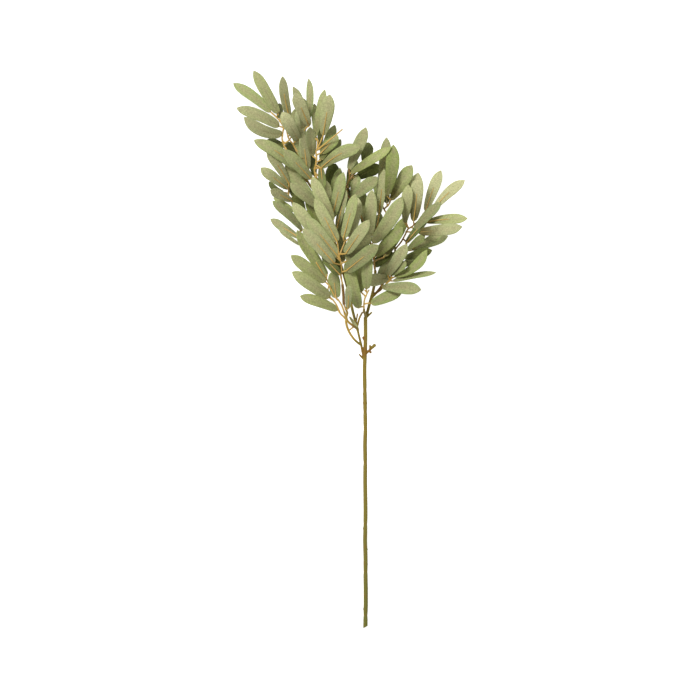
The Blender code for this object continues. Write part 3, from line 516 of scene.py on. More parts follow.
def heights(blade, rows):
    """Heights of a leaf at rows of (t, height over the spine)."""
    t = rows[:, 0]
    spine = blade.shape[0] * (1 - t) + blade.shape[1] * t + blade.shape[2] * 4 * t * (1 - t)
    return blade.root.z + spine + rows[:, 1]


def nudge(blade, t, amount):
    """The smallest change of a leaf's shape that moves its spine at t by this much."""
    pull = blade.weights(t) * np.array(PULL)
    blade.shape += pull * (amount / float(blade.weights(t) @ pull))


def line_points(places, carried):
    """The points of an arm or twig, with its end squared to the twig of the spray that it carries."""
    points = [plan(*p) for p in places]
    if carried:
        first, second = (plan(*p) for p in SPRAYS[carried].twigs[0][:2])
        back = (first - second).normalized()
        points.append(first + back * SEAT_STRAIGHT)
        points.append(first + back * SEAT_GAP)
    return points


def spread(first, last, count):
    """A list of evenly spaced values from first to last."""
    return [first + (last - first) * i / (count - 1) for i in range(count)]


# Half width of the cloth at stops from the base to the tip, for a strap-shaped and a club-shaped leaf
LEAF_EDGE_STOPS = (0.0, 0.03, 0.08, 0.20, 0.40, 0.65, 0.80, 0.89, 0.95, 0.985, 1.0)
STRAP_SHARES = (0.20, 0.58, 0.76, 0.90, 0.98, 1.00, 0.88, 0.64, 0.38, 0.13, 0.02)
CLUB_SHARES = (0.12, 0.30, 0.42, 0.60, 0.83, 1.00, 0.91, 0.66, 0.38, 0.13, 0.02)
CORNER_REACH = 0.09             # share of a leaf at each end whose outline is rounded
CORNER_SPANS = (-0.03, -0.015, 0.0, 0.015, 0.03)    # the outline is the mean over these spans there
LEAF_GRID = (10, 36)            # cells of a leaf across and along
CLOTH_THICKNESS = 0.0005
RIB_REACH = 0.56                # share of the leaf that the rib runs along
RIB_ROOT_RADIUS = 0.0012
RIB_STOPS = (0.0, 0.06, 0.14, 0.24, 0.34, 0.45, RIB_REACH)
RIB_TIP_RADIUS = 0.0005
RIB_SINK = 0.0004               # how far the middle of the rib's end is under the cloth
CREASE_DEPTH = 0.0007
CREASE_HALF = 0.16              # half the width of the crease, as a share of the half width of the leaf
CREASE_START = 1.25             # share of its depth that the crease has at the base, where 1 is the most,
CREASE_FALL = 1.4               # and how much of that it has lost at the tip
RIPPLES = 17.0                  # ripple of the margins along a leaf, in radians

# How far leaves differ from one another: each value is drawn between limits, or this much either way
TWIST = 12                      # degrees, from base to tip
CUPS = (-0.0004, 0.0010)        # how far the margins stand over the middle
FOLDS = (-5, 13)                # degrees that each half of the leaf is folded up
LEANS = (0.015, 0.05)           # share of the length by which one margin runs ahead of the other
STRAP_SPREAD = 0.3
GREEN_SPREAD = 0.25
WAVES = (0.0001, 0.0005)        # height of the ripple of the margins
WAVE_STARTS = (0.0, 6.28)       # where the ripple starts, in radians

STEM_VOXEL = 0.0006

# Points for each stretch of a smoothed line, and how round the tubes are
STEM_STEPS = 16
TWIG_STEPS = 6
STUB_STEPS = 4
BUMP_STEPS = 3
RIB_STEPS = 3
STEM_ROUND = 4
STUB_ROUND = 3
TWIG_ROUND = 2
RIB_ROUND = 1

# How strap-shaped the leaves of a spray are, from 0 (club) to 1 (strap), where they differ from the rest
COMMON_STRAP = 0.4
SPRAY_STRAP = {
    "spray_middle_front": 0.8, "spray_middle_back": 0.7, "spray_centre": 0.8, "spray_right_middle": 0.6,
    "spray_middle_left": 0.5, "spray_right": 0.2, "spray_upper_left": 0.9, "spray_lower_left": 0.8,
    "spray_left": 0.8, "spray_upper_middle": 0.7,
}
# How yellow green their margins are, from 0 (sage) to 1, where they differ from the rest
COMMON_GREEN = 0.45
SPRAY_GREEN = {
    "spray_upper_middle": 0.35, "spray_middle_left": 0.4, "spray_middle_front": 0.35, "spray_middle": 0.6,
    "spray_east": 0.55, "spray_right_middle": 0.6, "spray_right": 0.5, "spray_lower_right": 0.5,
    "spray_centre": 0.7, "spray_lower_left": 0.7, "spray_left": 0.6,
}
# How brown the twigs of a spray are, from 0 (tan, as all the others are) to 1
TWIG_AGE = {
    "spray_right": 0.75, "spray_east": 0.85, "spray_right_middle": 0.7, "spray_right_top": 0.6,
    "spray_middle_front": 0.25, "spray_middle_back": 0.6, "spray_middle": 0.6, "spray_upper_middle": 0.3,
}
SLEEVED_SPRAY = "spray_middle_front"
SLEEVE_ROWS = (284.0, 305.0)    # its thicker brown foot, as photograph rows
SLEEVE_SWELL = 1.7
SLIMMER = 0.86                  # the twigs between their knots, against those of the solids
KNOT_SWELL = 0.4                # how much thicker a twig is where a leaf is rooted
KNOT_REACH = 0.0016

# Node rings of the stem, as photograph rows, where it is a little narrower and browner
STEM_RINGS = (390.0, 412.0, 428.0, 463.0, 524.0, 572.0, 616.0)
RING_NECK = 0.13                # share of its radius that the stem loses there
RING_HALF_LENGTH = 0.003
RING_PAINT = 0.35               # amount and half length of the brown
RING_PAINT_REACH = 0.0012
# Places of the stem and its arms that are painted brown, tan or deep green: u, v, reach (px) and amount
STEM_PAINT = {
    "ring": [(364.0, 352, 6, 0.7), (370, 351.5, 3.5, 0.9), (363, 338, 2.5, 1.0), (352, 325, 4, 0.6),
             (378, 291, 5, 0.9), (361.5, 313, 3, 0.5)],
    "tan": [(348, 332, 7, 0.9), (344, 321, 9, 1.0), (351, 337, 5, 0.8), (351, 329, 3, 0.9),
            (357.5, 315, 2.5, 0.9), (369.8, 345.5, 2, 0.35), (360.3, 319, 3, 0.6)],
    "deep": [(353.3, 311, 4, 0.8), (354.8, 317, 2.6, 0.7), (367.5, 314, 4, 0.35), (369, 306, 5, 0.35),
             (365.5, 324, 5, 0.25)],
}
STEM_FILL = 0.0008              # added to the radius of the stem, for what joining and smoothing take off
ARM_FILL = 0.0003               # the same for its arms, and for its stubs
STUB_FILL = 0.0002
STUB_SHARES = (1.0, 0.95, 0.95, 1.1, 0.75)          # radius of a stub along its length
FORK_ROWS = (331.0, 358.0)      # the left arm is thinner between these rows, so that the fork opens low
FORK_THIN = 0.0005
STEM_LIFT = 0.0008              # the fuller stem is this much higher, so that it rests on the surface
BRACT_GRID = (6, 16)            # cells of the bract across and along
BRACT_HALF = 0.0026             # half its width, and its outline from foot to tip
BRACT_STOPS = (0.0, 0.1, 0.4, 0.85, 0.96, 1.0)
BRACT_SHARES = (0.8, 1.0, 0.95, 0.6, 0.4, 0.05)
BRACT_RISE = 0.003              # how far its tip stands over its foot
BRACT_LIFT = 0.0012             # how far its middle is over its line, and its margins over its middle
BRACT_CUP = 0.0012
CUT_EXTRA = 2.6                 # the stem runs this many pixels on before its end is cut slantwise
CUT_PLACE = (365.45, 628.2)
CUT_NORMAL = (0.45, -0.89, 0.0)
# Bumps on its two sides: u, v, and side (-1 left, 1 right)
STEM_BUMPS = [(362.8, 394, -1), (367.4, 403, 1), (362.9, 403, -1), (362.9, 529, -1), (367.7, 550, 1),
              (367.8, 565, 1), (367.95, 589, 1), (363.2, 610, -1)]
BUMP_RADIUS = 0.0014
BUMP_END = 0.7                  # radius of its end, as a share
BUMP_INWARD = 1.6               # how far its foot is towards the middle, in pixels
BUMP_DOWN = 0.9                 # how far its foot is below, and its end above, its place
BUMP_UP = 0.5
# How far the stem strays sideways from the line of its solid, in pixels, at photograph rows from the top down
STRAY_ROWS = (317, 340, 352, 364, 385, 400, 430, 445, 463, 480,
              512, 532, 541, 560, 575, 590, 605, 616, 628)
STRAY = (-0.3, -0.5, -0.5, -0.35, 0.0, 0.1, 0.42, -0.1, 0.15, -0.05,
         0.3, 0.0, -0.25, 0.2, 0.12, 0.4, 0.45, 0.2, 0.15)

# Settings that many of the shader nodes share
COLOUR_MIX = {"data_type": "RGBA"}
EASED = {"interpolation_type": "SMOOTHSTEP"}

# The stage
FLOOR_SIZE = 14.0
FLOOR_HEIGHT = -0.0005
HEAD_HEIGHT = 0.07              # the level at which the picture has the scale of the photograph
SKY_COLOUR = (1.0, 0.985, 0.87)
SKY_STRENGTH = 0.52
KEY_PLACE = (-2.0, 2.0, 4.0)
KEY_FROM = (-0.62, 0.75, 1.7)   # the direction that the key light comes from
KEY_STRENGTH = 2.8
KEY_ANGLE = math.radians(16)


def linear(hex_colour):
    """An sRGB hex colour as linear red, green, blue."""
    values = [int(hex_colour[i:i + 2], 16) / 255 for i in (1, 3, 5)]
    return tuple(v / 12.92 if v <= 0.04045 else ((v + 0.055) / 1.055) ** 2.4 for v in values)


class WillowLeafSettings(bpy.types.PropertyGroup):
    cloth_centre: bpy.props.FloatVectorProperty(
        name="Cloth centre", description="Greyish sage of the middle of a leaf", subtype="COLOR",
        default=linear("#96936C"))
    cloth_edge: bpy.props.FloatVectorProperty(
        name="Cloth edge", description="Yellow green of the margins", subtype="COLOR",
        default=linear("#8C994A"))
    cloth_sage: bpy.props.FloatVectorProperty(
        name="Cloth sage", description="Cooler sage of the margins of the greyer leaves", subtype="COLOR",
        default=linear("#8D9A70"))
    # Painted shade: deep olive that leaves in the shade of others are darkened towards
    cloth_shadow_olive: bpy.props.FloatVectorProperty(
        name="Cloth deep", description="Deep olive of the darkest leaves", subtype="COLOR",
        default=linear("#40470F"))
    cloth_pale: bpy.props.FloatVectorProperty(
        name="Cloth pale", description="Pale grey green of the lightest leaves", subtype="COLOR",
        default=linear("#B8B68C"))
    # Painted shade at the base of some leaves, where the leaves over them shade them
    cloth_base_shade: bpy.props.FloatVectorProperty(
        name="Cloth dye", description="Olive brown that runs up from the base of some leaves",
        subtype="COLOR", default=linear("#5A4F1E"))
    thickness: bpy.props.FloatProperty(
        name="Cloth thickness", description="Thickness of the leaf cloth", unit="LENGTH",
        default=CLOTH_THICKNESS)
    seed: bpy.props.IntProperty(
        name="Seed", description="Seed of the small differences between leaves", default=7)


class WillowTwigSettings(bpy.types.PropertyGroup):
    twig_tan: bpy.props.FloatVectorProperty(
        name="Twig tan", description="Tan of the moulded twigs and ribs", subtype="COLOR",
        default=linear("#BE9C50"))
    twig_brown: bpy.props.FloatVectorProperty(
        name="Twig brown", description="Brown of the older twigs", subtype="COLOR", default=linear("#73521F"))
    rib_radius: bpy.props.FloatProperty(
        name="Rib radius", description="Radius of a rib at the base of its leaf", unit="LENGTH",
        default=RIB_ROOT_RADIUS)


class WillowStemSettings(bpy.types.PropertyGroup):
    bark_olive: bpy.props.FloatVectorProperty(
        name="Bark olive", description="Olive of the stem", subtype="COLOR", default=linear("#7F6E28"))
    bark_green: bpy.props.FloatVectorProperty(
        name="Bark green", description="Greener lower part of the stem", subtype="COLOR",
        default=linear("#5F5F20"))
    bark_brown: bpy.props.FloatVectorProperty(
        name="Bark brown", description="Brown of the node rings and side arms", subtype="COLOR",
        default=linear("#7A5218"))
    voxel: bpy.props.FloatProperty(
        name="Voxel", description="Size of the cells that join the arms to the stem", unit="LENGTH",
        default=STEM_VOXEL)


class WillowStageSettings(bpy.types.PropertyGroup):
    camera_distance: bpy.props.FloatProperty(
        name="Camera distance", description="Height of the camera over the stem", unit="LENGTH", default=16.0)
    picture_pixels: bpy.props.IntProperty(
        name="Picture pixels", description="Width of the square picture", default=700)
    floor_glow: bpy.props.FloatProperty(
        name="Floor glow", description="Light that comes through the floor from below", default=0.85)
    floor_colour: bpy.props.FloatVectorProperty(
        name="Floor colour", description="Plain pale floor", subtype="COLOR", default=linear("#C8C8C6"))


def deselect_all():
    if bpy.context.object and bpy.context.object.mode != "OBJECT":
        bpy.ops.object.mode_set(mode="OBJECT")
    bpy.ops.object.select_all(action="DESELECT")


def activate(piece):
    deselect_all()
    piece.select_set(True)
    bpy.context.view_layer.objects.active = piece


def join(pieces, name):
    """Joins pieces into one object of this name."""
    deselect_all()
    for piece in pieces:
        piece.select_set(True)
    bpy.context.view_layer.objects.active = pieces[0]
    bpy.ops.object.join()
    pieces[0].name = name
    pieces[0].data.name = name
    return pieces[0]


def add_node(tree, kind, settings=None, inputs=None):
    """Adds a node with its settings; an input is a value, or an output of another node to link.

    Inputs go by number or name. A colour mix has its share at 0 and its two colours at 6 and 7, and gives its
    result at output 2. A map range has its value at 0, its old range at 1 and 2, and its new one at 3 and 4.
    """
    node = tree.nodes.new(kind)
    for key, value in (settings or {}).items():
        setattr(node, key, value)
    for key, value in (inputs or {}).items():
        if isinstance(value, bpy.types.NodeSocket):
            tree.links.new(value, node.inputs[key])
        else:
            node.inputs[key].default_value = value
    return node


def new_material(name):
    material = bpy.data.materials.new(name)
    material.use_nodes = True
    shader = material.node_tree.nodes["Principled BSDF"]
    return material, material.node_tree, shader


def rgba(colour):
    return (*colour, 1.0)


def leaf_cloth(name, settings, crease):
    """Printed polyester leaf cloth: matt, with a fine weave, a greyish middle, yellow-green margins and
    painted shade.
    """
    material, tree, shader = new_material(name)
    uv = add_node(tree, "ShaderNodeUVMap", {"uv_map": "UVMap"})
    split = add_node(tree, "ShaderNodeSeparateXYZ", inputs={0: uv.outputs[0]})
    place = add_node(tree, "ShaderNodeTexCoord").outputs["Object"]
    tone = add_node(tree, "ShaderNodeAttribute", {"attribute_name": "tone"}).outputs["Fac"]
    from_middle = add_node(tree, "ShaderNodeMath", {"operation": "SUBTRACT"}, {0: split.outputs[0], 1: 0.5})
    from_middle = add_node(tree, "ShaderNodeMath", {"operation": "ABSOLUTE"}, {0: from_middle.outputs[0]})
    # Printed blotches about 9 mm across, and speckle of the weave about 2 mm across
    blotch = add_node(tree, "ShaderNodeTexNoise", inputs={"Vector": place, "Scale": 110.0, "Detail": 3.0})
    speckle = add_node(tree, "ShaderNodeTexNoise", inputs={"Vector": place, "Scale": 430.0, "Detail": 4.0,
                                                           "Roughness": 0.7})
    centre = add_node(tree, "ShaderNodeMath", {"operation": "MULTIPLY"}, {0: from_middle.outputs[0], 1: 0.6})
    wander = add_node(tree, "ShaderNodeMath", {"operation": "MULTIPLY_ADD"},
                      {0: blotch.outputs[0], 1: 0.60, 2: centre.outputs[0]})
    green = add_node(tree, "ShaderNodeAttribute", {"attribute_name": "green"}).outputs["Fac"]
    wander = add_node(tree, "ShaderNodeMath", {"operation": "MULTIPLY_ADD"},
                      {0: green, 1: 0.32, 2: wander.outputs[0]})
    margin = add_node(tree, "ShaderNodeMapRange", EASED,
                      {0: wander.outputs[0], 1: 0.34, 2: 0.84, 3: 0.0, 4: 1.0})
    edge = add_node(tree, "ShaderNodeMix", COLOUR_MIX,
                    {0: green, 6: rgba(settings.cloth_sage), 7: rgba(settings.cloth_edge)})
    cloth = add_node(tree, "ShaderNodeMix", COLOUR_MIX,
                     {0: margin.outputs[0], 6: rgba(settings.cloth_centre), 7: edge.outputs[2]})
    # Tone, partly the cloth's own and partly painted light and shade: high tones paler, low ones darker
    paler = add_node(tree, "ShaderNodeMapRange", inputs={0: tone, 1: 0.55, 2: 1.0, 3: 0.0, 4: 0.75})
    cloth = add_node(tree, "ShaderNodeMix", COLOUR_MIX,
                     {0: paler.outputs[0], 6: cloth.outputs[2], 7: rgba(settings.cloth_pale)})
    shadow_share = add_node(tree, "ShaderNodeMapRange", inputs={0: tone, 1: 0.55, 2: 0.05, 3: 0.0, 4: 0.97})
    cloth = add_node(tree, "ShaderNodeMix", COLOUR_MIX,
                     {0: shadow_share.outputs[0], 6: cloth.outputs[2], 7: rgba(settings.cloth_shadow_olive)})
    # Painted shade: olive brown that runs up from the base of some leaves, where the leaves over them shade
    # them
    dye = add_node(tree, "ShaderNodeAttribute", {"attribute_name": "dye"}).outputs["Fac"]
    base_shaded = add_node(tree, "ShaderNodeMath", {"operation": "MULTIPLY_ADD"},
                    {0: blotch.outputs[0], 1: 0.35, 2: split.outputs[1]})
    base_shaded = add_node(tree, "ShaderNodeMapRange", EASED,
                    {0: base_shaded.outputs[0], 1: 0.25, 2: 0.80, 3: 1.0, 4: 0.0})
    base_shaded = add_node(tree, "ShaderNodeMath", {"operation": "MULTIPLY"}, {0: base_shaded.outputs[0], 1: dye})
    cloth = add_node(tree, "ShaderNodeMix", COLOUR_MIX,
                     {0: base_shaded.outputs[0], 6: cloth.outputs[2], 7: rgba(settings.cloth_base_shade)})
    # Cream where the cloth runs into the stalk
    cream = add_node(tree, "ShaderNodeMapRange", EASED,
                     {0: split.outputs[1], 1: 0.0, 2: 0.09, 3: 0.5, 4: 0.0})
    cloth = add_node(tree, "ShaderNodeMix", COLOUR_MIX,
                     {0: cream.outputs[0], 6: cloth.outputs[2], 7: rgba(linear("#AFA66C"))})
    # Painted shade: a darker line along the crease in the middle of the plain face, fading towards the tip
    if crease:
        line = add_node(tree, "ShaderNodeMapRange", EASED,
                        {0: from_middle.outputs[0], 1: 0.01, 2: 0.06, 3: 0.30, 4: 0.0})
        fade = add_node(tree, "ShaderNodeMapRange", EASED,
                        {0: split.outputs[1], 1: 0.35, 2: 0.75, 3: 1.0, 4: 0.0})
        line = add_node(tree, "ShaderNodeMath", {"operation": "MULTIPLY"},
                        {0: line.outputs[0], 1: fade.outputs[0]})
        cloth = add_node(tree, "ShaderNodeMix", COLOUR_MIX,
                         {0: line.outputs[0], 6: cloth.outputs[2], 7: rgba(linear("#7F7A4C"))})
    grain = add_node(tree, "ShaderNodeMapRange",
                     inputs={0: speckle.outputs[0], 1: 0.28, 2: 0.72, 3: 0.66, 4: 1.32})
    # Painted shade: darker at the base, where the leaves over it shade it, and lighter towards the tip
    along_shade = add_node(tree, "ShaderNodeMapRange",
                       inputs={0: split.outputs[1], 1: 0.0, 2: 1.0, 3: 0.88, 4: 1.10})
    grain = add_node(tree, "ShaderNodeMath", {"operation": "MULTIPLY"},
                     {0: grain.outputs[0], 1: along_shade.outputs[0]})
    cloth = add_node(tree, "ShaderNodeVectorMath", {"operation": "SCALE"},
                     {0: cloth.outputs[2], "Scale": grain.outputs[0]})
    tree.links.new(cloth.outputs[0], shader.inputs["Base Color"])
    shader.inputs["Roughness"].default_value = 0.82
    shader.inputs["Sheen Weight"].default_value = 0.06
    shader.inputs["Specular IOR Level"].default_value = 0.15
    # Threads drawn 1.2 mm apart, coarser than real ones, so that they show
    stretch = add_node(tree, "ShaderNodeVectorMath", {"operation": "MULTIPLY"},
                       {0: uv.outputs[0], 1: (15.0, 60.0, 1.0)})
    warp = add_node(tree, "ShaderNodeTexWave", {"bands_direction": "X"},
                    {"Vector": stretch.outputs[0], "Scale": 0.314, "Distortion": 0.6})
    weft = add_node(tree, "ShaderNodeTexWave", {"bands_direction": "Y"},
                    {"Vector": stretch.outputs[0], "Scale": 0.314, "Distortion": 0.6})
    weave = add_node(tree, "ShaderNodeMath", {"operation": "ADD"}, {0: warp.outputs[1], 1: weft.outputs[1]})
    weave = add_node(tree, "ShaderNodeMath", {"operation": "ADD"},
                     {0: weave.outputs[0], 1: speckle.outputs[0]})
    bump = add_node(tree, "ShaderNodeBump",
                    inputs={"Strength": 0.35, "Distance": 0.0003, "Height": weave.outputs[0]})
    tree.links.new(bump.outputs[0], shader.inputs["Normal"])
    return material


def moulded_twig(settings):
    """Moulded polyethylene twig and rib: tan with browner stretches, slightly glossy."""
    material, tree, shader = new_material("moulded_polyethylene_twig")
    place = add_node(tree, "ShaderNodeTexCoord").outputs["Object"]
    # Browner stretches about 17 mm long, and scuffs about 1 mm across
    stretches = add_node(tree, "ShaderNodeTexNoise", inputs={"Vector": place, "Scale": 60.0, "Detail": 3.0})
    brown = add_node(tree, "ShaderNodeMapRange", EASED,
                     {0: stretches.outputs[0], 1: 0.48, 2: 0.80, 3: 0.0, 4: 0.5})
    age = add_node(tree, "ShaderNodeAttribute", {"attribute_name": "age"}).outputs["Fac"]
    brown = add_node(tree, "ShaderNodeMath", {"operation": "MAXIMUM"}, {0: brown.outputs[0], 1: age})
    colour = add_node(tree, "ShaderNodeMix", COLOUR_MIX,
                      {0: brown.outputs[0], 6: rgba(settings.twig_tan), 7: rgba(settings.twig_brown)})
    tree.links.new(colour.outputs[2], shader.inputs["Base Color"])
    shader.inputs["Roughness"].default_value = 0.5
    scuff = add_node(tree, "ShaderNodeTexNoise", inputs={"Vector": place, "Scale": 900.0, "Detail": 2.0})
    bump = add_node(tree, "ShaderNodeBump",
                    inputs={"Strength": 0.3, "Distance": 0.0002, "Height": scuff.outputs[0]})
    tree.links.new(bump.outputs[0], shader.inputs["Normal"])
    return material


def moulded_bark(settings):
    """Moulded polyethylene bark over the stem: olive, greener low down, blotched brown, rather matt."""
    material, tree, shader = new_material("moulded_polyethylene_bark")
    place = add_node(tree, "ShaderNodeTexCoord").outputs["Object"]
    split = add_node(tree, "ShaderNodeSeparateXYZ", inputs={0: place})
    along = add_node(tree, "ShaderNodeMapRange",
                     inputs={0: split.outputs[1], 1: -0.42, 2: -0.10, 3: 1.0, 4: 0.0})
    # Blotches about 8 mm long and 3 mm across, drawn out along the stem
    long_place = add_node(tree, "ShaderNodeVectorMath", {"operation": "MULTIPLY"},
                          {0: place, 1: (1.0, 0.4, 1.0)})
    blotch = add_node(tree, "ShaderNodeTexNoise",
                      inputs={"Vector": long_place.outputs[0], "Scale": 300.0, "Detail": 4.0})
    colour = add_node(tree, "ShaderNodeMix", COLOUR_MIX,
                      {0: along.outputs[0], 6: rgba(settings.bark_olive), 7: rgba(settings.bark_green)})
    brown = add_node(tree, "ShaderNodeMapRange", EASED,
                     {0: blotch.outputs[0], 1: 0.50, 2: 0.74, 3: 0.0, 4: 0.5})
    # Brown at the node rings and buds, and tan and deep green about the fork, where the stem is painted so
    ring = add_node(tree, "ShaderNodeAttribute", {"attribute_name": "ring"}).outputs["Fac"]
    brown = add_node(tree, "ShaderNodeMath", {"operation": "MAXIMUM"}, {0: brown.outputs[0], 1: ring})
    colour = add_node(tree, "ShaderNodeMix", COLOUR_MIX,
                      {0: brown.outputs[0], 6: colour.outputs[2], 7: rgba(settings.bark_brown)})
    tan = add_node(tree, "ShaderNodeAttribute", {"attribute_name": "tan"}).outputs["Fac"]
    deep = add_node(tree, "ShaderNodeAttribute", {"attribute_name": "deep"}).outputs["Fac"]
    colour = add_node(tree, "ShaderNodeMix", COLOUR_MIX,
                      {0: deep, 6: colour.outputs[2], 7: rgba(linear("#5F5A12"))})
    colour = add_node(tree, "ShaderNodeMix", COLOUR_MIX,
                      {0: tan, 6: colour.outputs[2], 7: rgba(linear("#A98A3C"))})
    tree.links.new(colour.outputs[2], shader.inputs["Base Color"])
    shader.inputs["Roughness"].default_value = 0.6
    shader.inputs["Specular IOR Level"].default_value = 0.3
    bump = add_node(tree, "ShaderNodeBump",
                    inputs={"Strength": 0.5, "Distance": 0.0004, "Height": blotch.outputs[0]})
    tree.links.new(bump.outputs[0], shader.inputs["Normal"])
    return material


def smooth_line(points, per_stretch):
    """Points of a smooth curve that passes through the given points."""
    ends = [points[0] * 2 - points[1], *points, points[-1] * 2 - points[-2]]
    line = []
    for a, b, c, d in zip(ends, ends[1:], ends[2:], ends[3:]):
        for i in range(per_stretch):
            t = i / per_stretch
            line.append(0.5 * (2 * b + (c - a) * t + (2 * a - 5 * b + 4 * c - d) * t ** 2
                               + (3 * b - a - 3 * c + d) * t ** 3))
    line.append(points[-1].copy())
    return line


def tube(name, points, radii, roundness):
    """A round tube along points, made from a curve primitive and turned into a mesh."""
    deselect_all()
    bpy.ops.curve.primitive_bezier_curve_add(location=(0.0, 0.0, 0.0))
    holder = bpy.context.object
    curve = holder.data
    curve.splines.clear()
    curve.dimensions = "3D"
    curve.bevel_depth = 1.0
    curve.bevel_resolution = roundness
    curve.use_fill_caps = True
    spline = curve.splines.new("POLY")
    spline.points.add(len(points) - 1)
    spline.points.foreach_set("co", [value for point in points for value in (*point, 1.0)])
    spline.points.foreach_set("radius", list(radii))
    bpy.ops.object.convert(target="MESH")
    piece = bpy.context.object
    piece.name = name
    bpy.ops.object.mode_set(mode="EDIT")
    bpy.ops.mesh.select_all(action="SELECT")
    bpy.ops.mesh.remove_doubles(threshold=WELD)
    bpy.ops.mesh.normals_make_consistent(inside=False)
    bpy.ops.object.mode_set(mode="OBJECT")
    bpy.ops.object.shade_smooth()
    return piece


def set_attribute(piece, name, values):
    """A number at each point of the mesh, that a material reads."""
    layer = piece.data.attributes.new(name, "FLOAT", "POINT")
    layer.data.foreach_set("value", np.asarray(values, dtype=np.float32))


def master_leaf():
    """One flat square grid, from -1 to 1, that every leaf is laid from: across in x, along in y."""
    deselect_all()
    bpy.ops.mesh.primitive_grid_add(x_subdivisions=LEAF_GRID[0], y_subdivisions=LEAF_GRID[1], size=2.0,
                                    location=(0.0, 0.0, 0.0))
    leaf = bpy.context.object
    leaf.name = "leaf_pattern"
    return leaf


def outline(t, strap):
    """Half the width of the cloth along the leaf, between a club and a strap, with rounded corners."""
    shares = np.array(STRAP_SHARES) * strap + np.array(CLUB_SHARES) * (1 - strap)
    smooth = np.mean([np.interp(t + span, LEAF_EDGE_STOPS, shares) for span in CORNER_SPANS], axis=0)
    sharp = np.interp(t, LEAF_EDGE_STOPS, shares)
    ends = np.clip(np.minimum(t, 1 - t) / CORNER_REACH, 0.0, 1.0)
    return sharp * (1 - ends) + smooth * ends


class LeafForm:
    """How one leaf differs a little from the rest."""

    def __init__(self, blade, dice):
        self.twist = math.radians(dice.uniform(-TWIST, TWIST))
        self.cup = dice.uniform(*CUPS)
        self.fold = math.tan(math.radians(dice.uniform(*FOLDS)))
        self.lean = dice.choice((-1, 1)) * dice.uniform(*LEANS)
        strap = SPRAY_STRAP.get(blade.spray_name, COMMON_STRAP) + dice.uniform(-STRAP_SPREAD, STRAP_SPREAD)
        self.strap = min(max(strap, 0.0), 1.0)
        green = SPRAY_GREEN.get(blade.spray_name, COMMON_GREEN) + dice.uniform(-GREEN_SPREAD, GREEN_SPREAD)
        self.green = min(max(green, 0.0), 1.0)
        self.wave = dice.uniform(*WAVES)
        self.wave_start = dice.uniform(*WAVE_STARTS)
        self.up = -1.0 if blade.rib_up else 1.0


def place_on_leaf(blade, form, t, across, above):
    """Places on a leaf, as an array: t along it, across from -1 to 1, and above its smooth face in metres."""
    fuller = np.clip(t + form.lean * np.sign(across) * np.sin(np.pi * t), 0.0, 1.0)
    reach = across * blade.half * outline(fuller, form.strap)
    roll = blade.roll + form.twist * (t - 0.5)
    arch = 4 * t * (1 - t)
    shape = blade.shape
    height = blade.root.z + shape[0] * (1 - t) + shape[1] * t + shape[2] * arch
    fade = np.clip(CREASE_START - CREASE_FALL * t, 0.0, 1.0)
    fold = CREASE_DEPTH * np.exp(-(across / CREASE_HALF) ** 2) * fade
    sag = (form.cup * across ** 2 + form.fold * np.abs(reach)) * np.sin(np.pi * np.clip(t, 0, 1)) - fold
    ripple = form.wave * np.sin(t * RIPPLES + form.wave_start + across) * np.abs(across)
    lift = (sag + ripple + above) * form.up
    side = np.array(blade.side)
    base = np.array(blade.base)
    axis = np.array(blade.axis)
    flat = base + np.outer(t * blade.length, axis) + np.outer(blade.bend * arch + reach * np.cos(roll), side)
    flat[:, 2] = height + reach * np.sin(roll) + lift
    return flat


def lay_leaf(pattern, blade, form):
    """A copy of the pattern, with its own mesh, laid on the place of one leaf."""
    piece = pattern.copy()
    piece.data = pattern.data.copy()
    bpy.context.scene.collection.objects.link(piece)
    count = len(piece.data.vertices)
    flat = np.empty(count * 3)
    piece.data.vertices.foreach_get("co", flat)
    flat = flat.reshape(-1, 3)
    placed = place_on_leaf(blade, form, (flat[:, 1] + 1) / 2, -flat[:, 0] * form.up, np.zeros(count))
    piece.data.vertices.foreach_set("co", placed.ravel())
    set_attribute(piece, "tone", np.full(count, blade.tone))
    set_attribute(piece, "green", np.full(count, form.green))
    set_attribute(piece, "dye", np.full(count, blade.dye))
    return piece


def lay_rib(name, blade, form, radius):
    """The stalk and rib of one leaf: from inside its twig, and along the leaf's rib side."""
    stops = np.array(RIB_STOPS)
    depths = np.array(spread(radius, RIB_SINK, len(stops)))
    under = place_on_leaf(blade, form, stops, np.zeros(len(stops)), -depths)
    points = [blade.root.copy(), *(Vector(p) for p in under)]
    line = smooth_line(points, RIB_STEPS)
    radii = spread(radius, RIB_TIP_RADIUS, len(line))
    return tube(name, line, radii, RIB_ROUND)


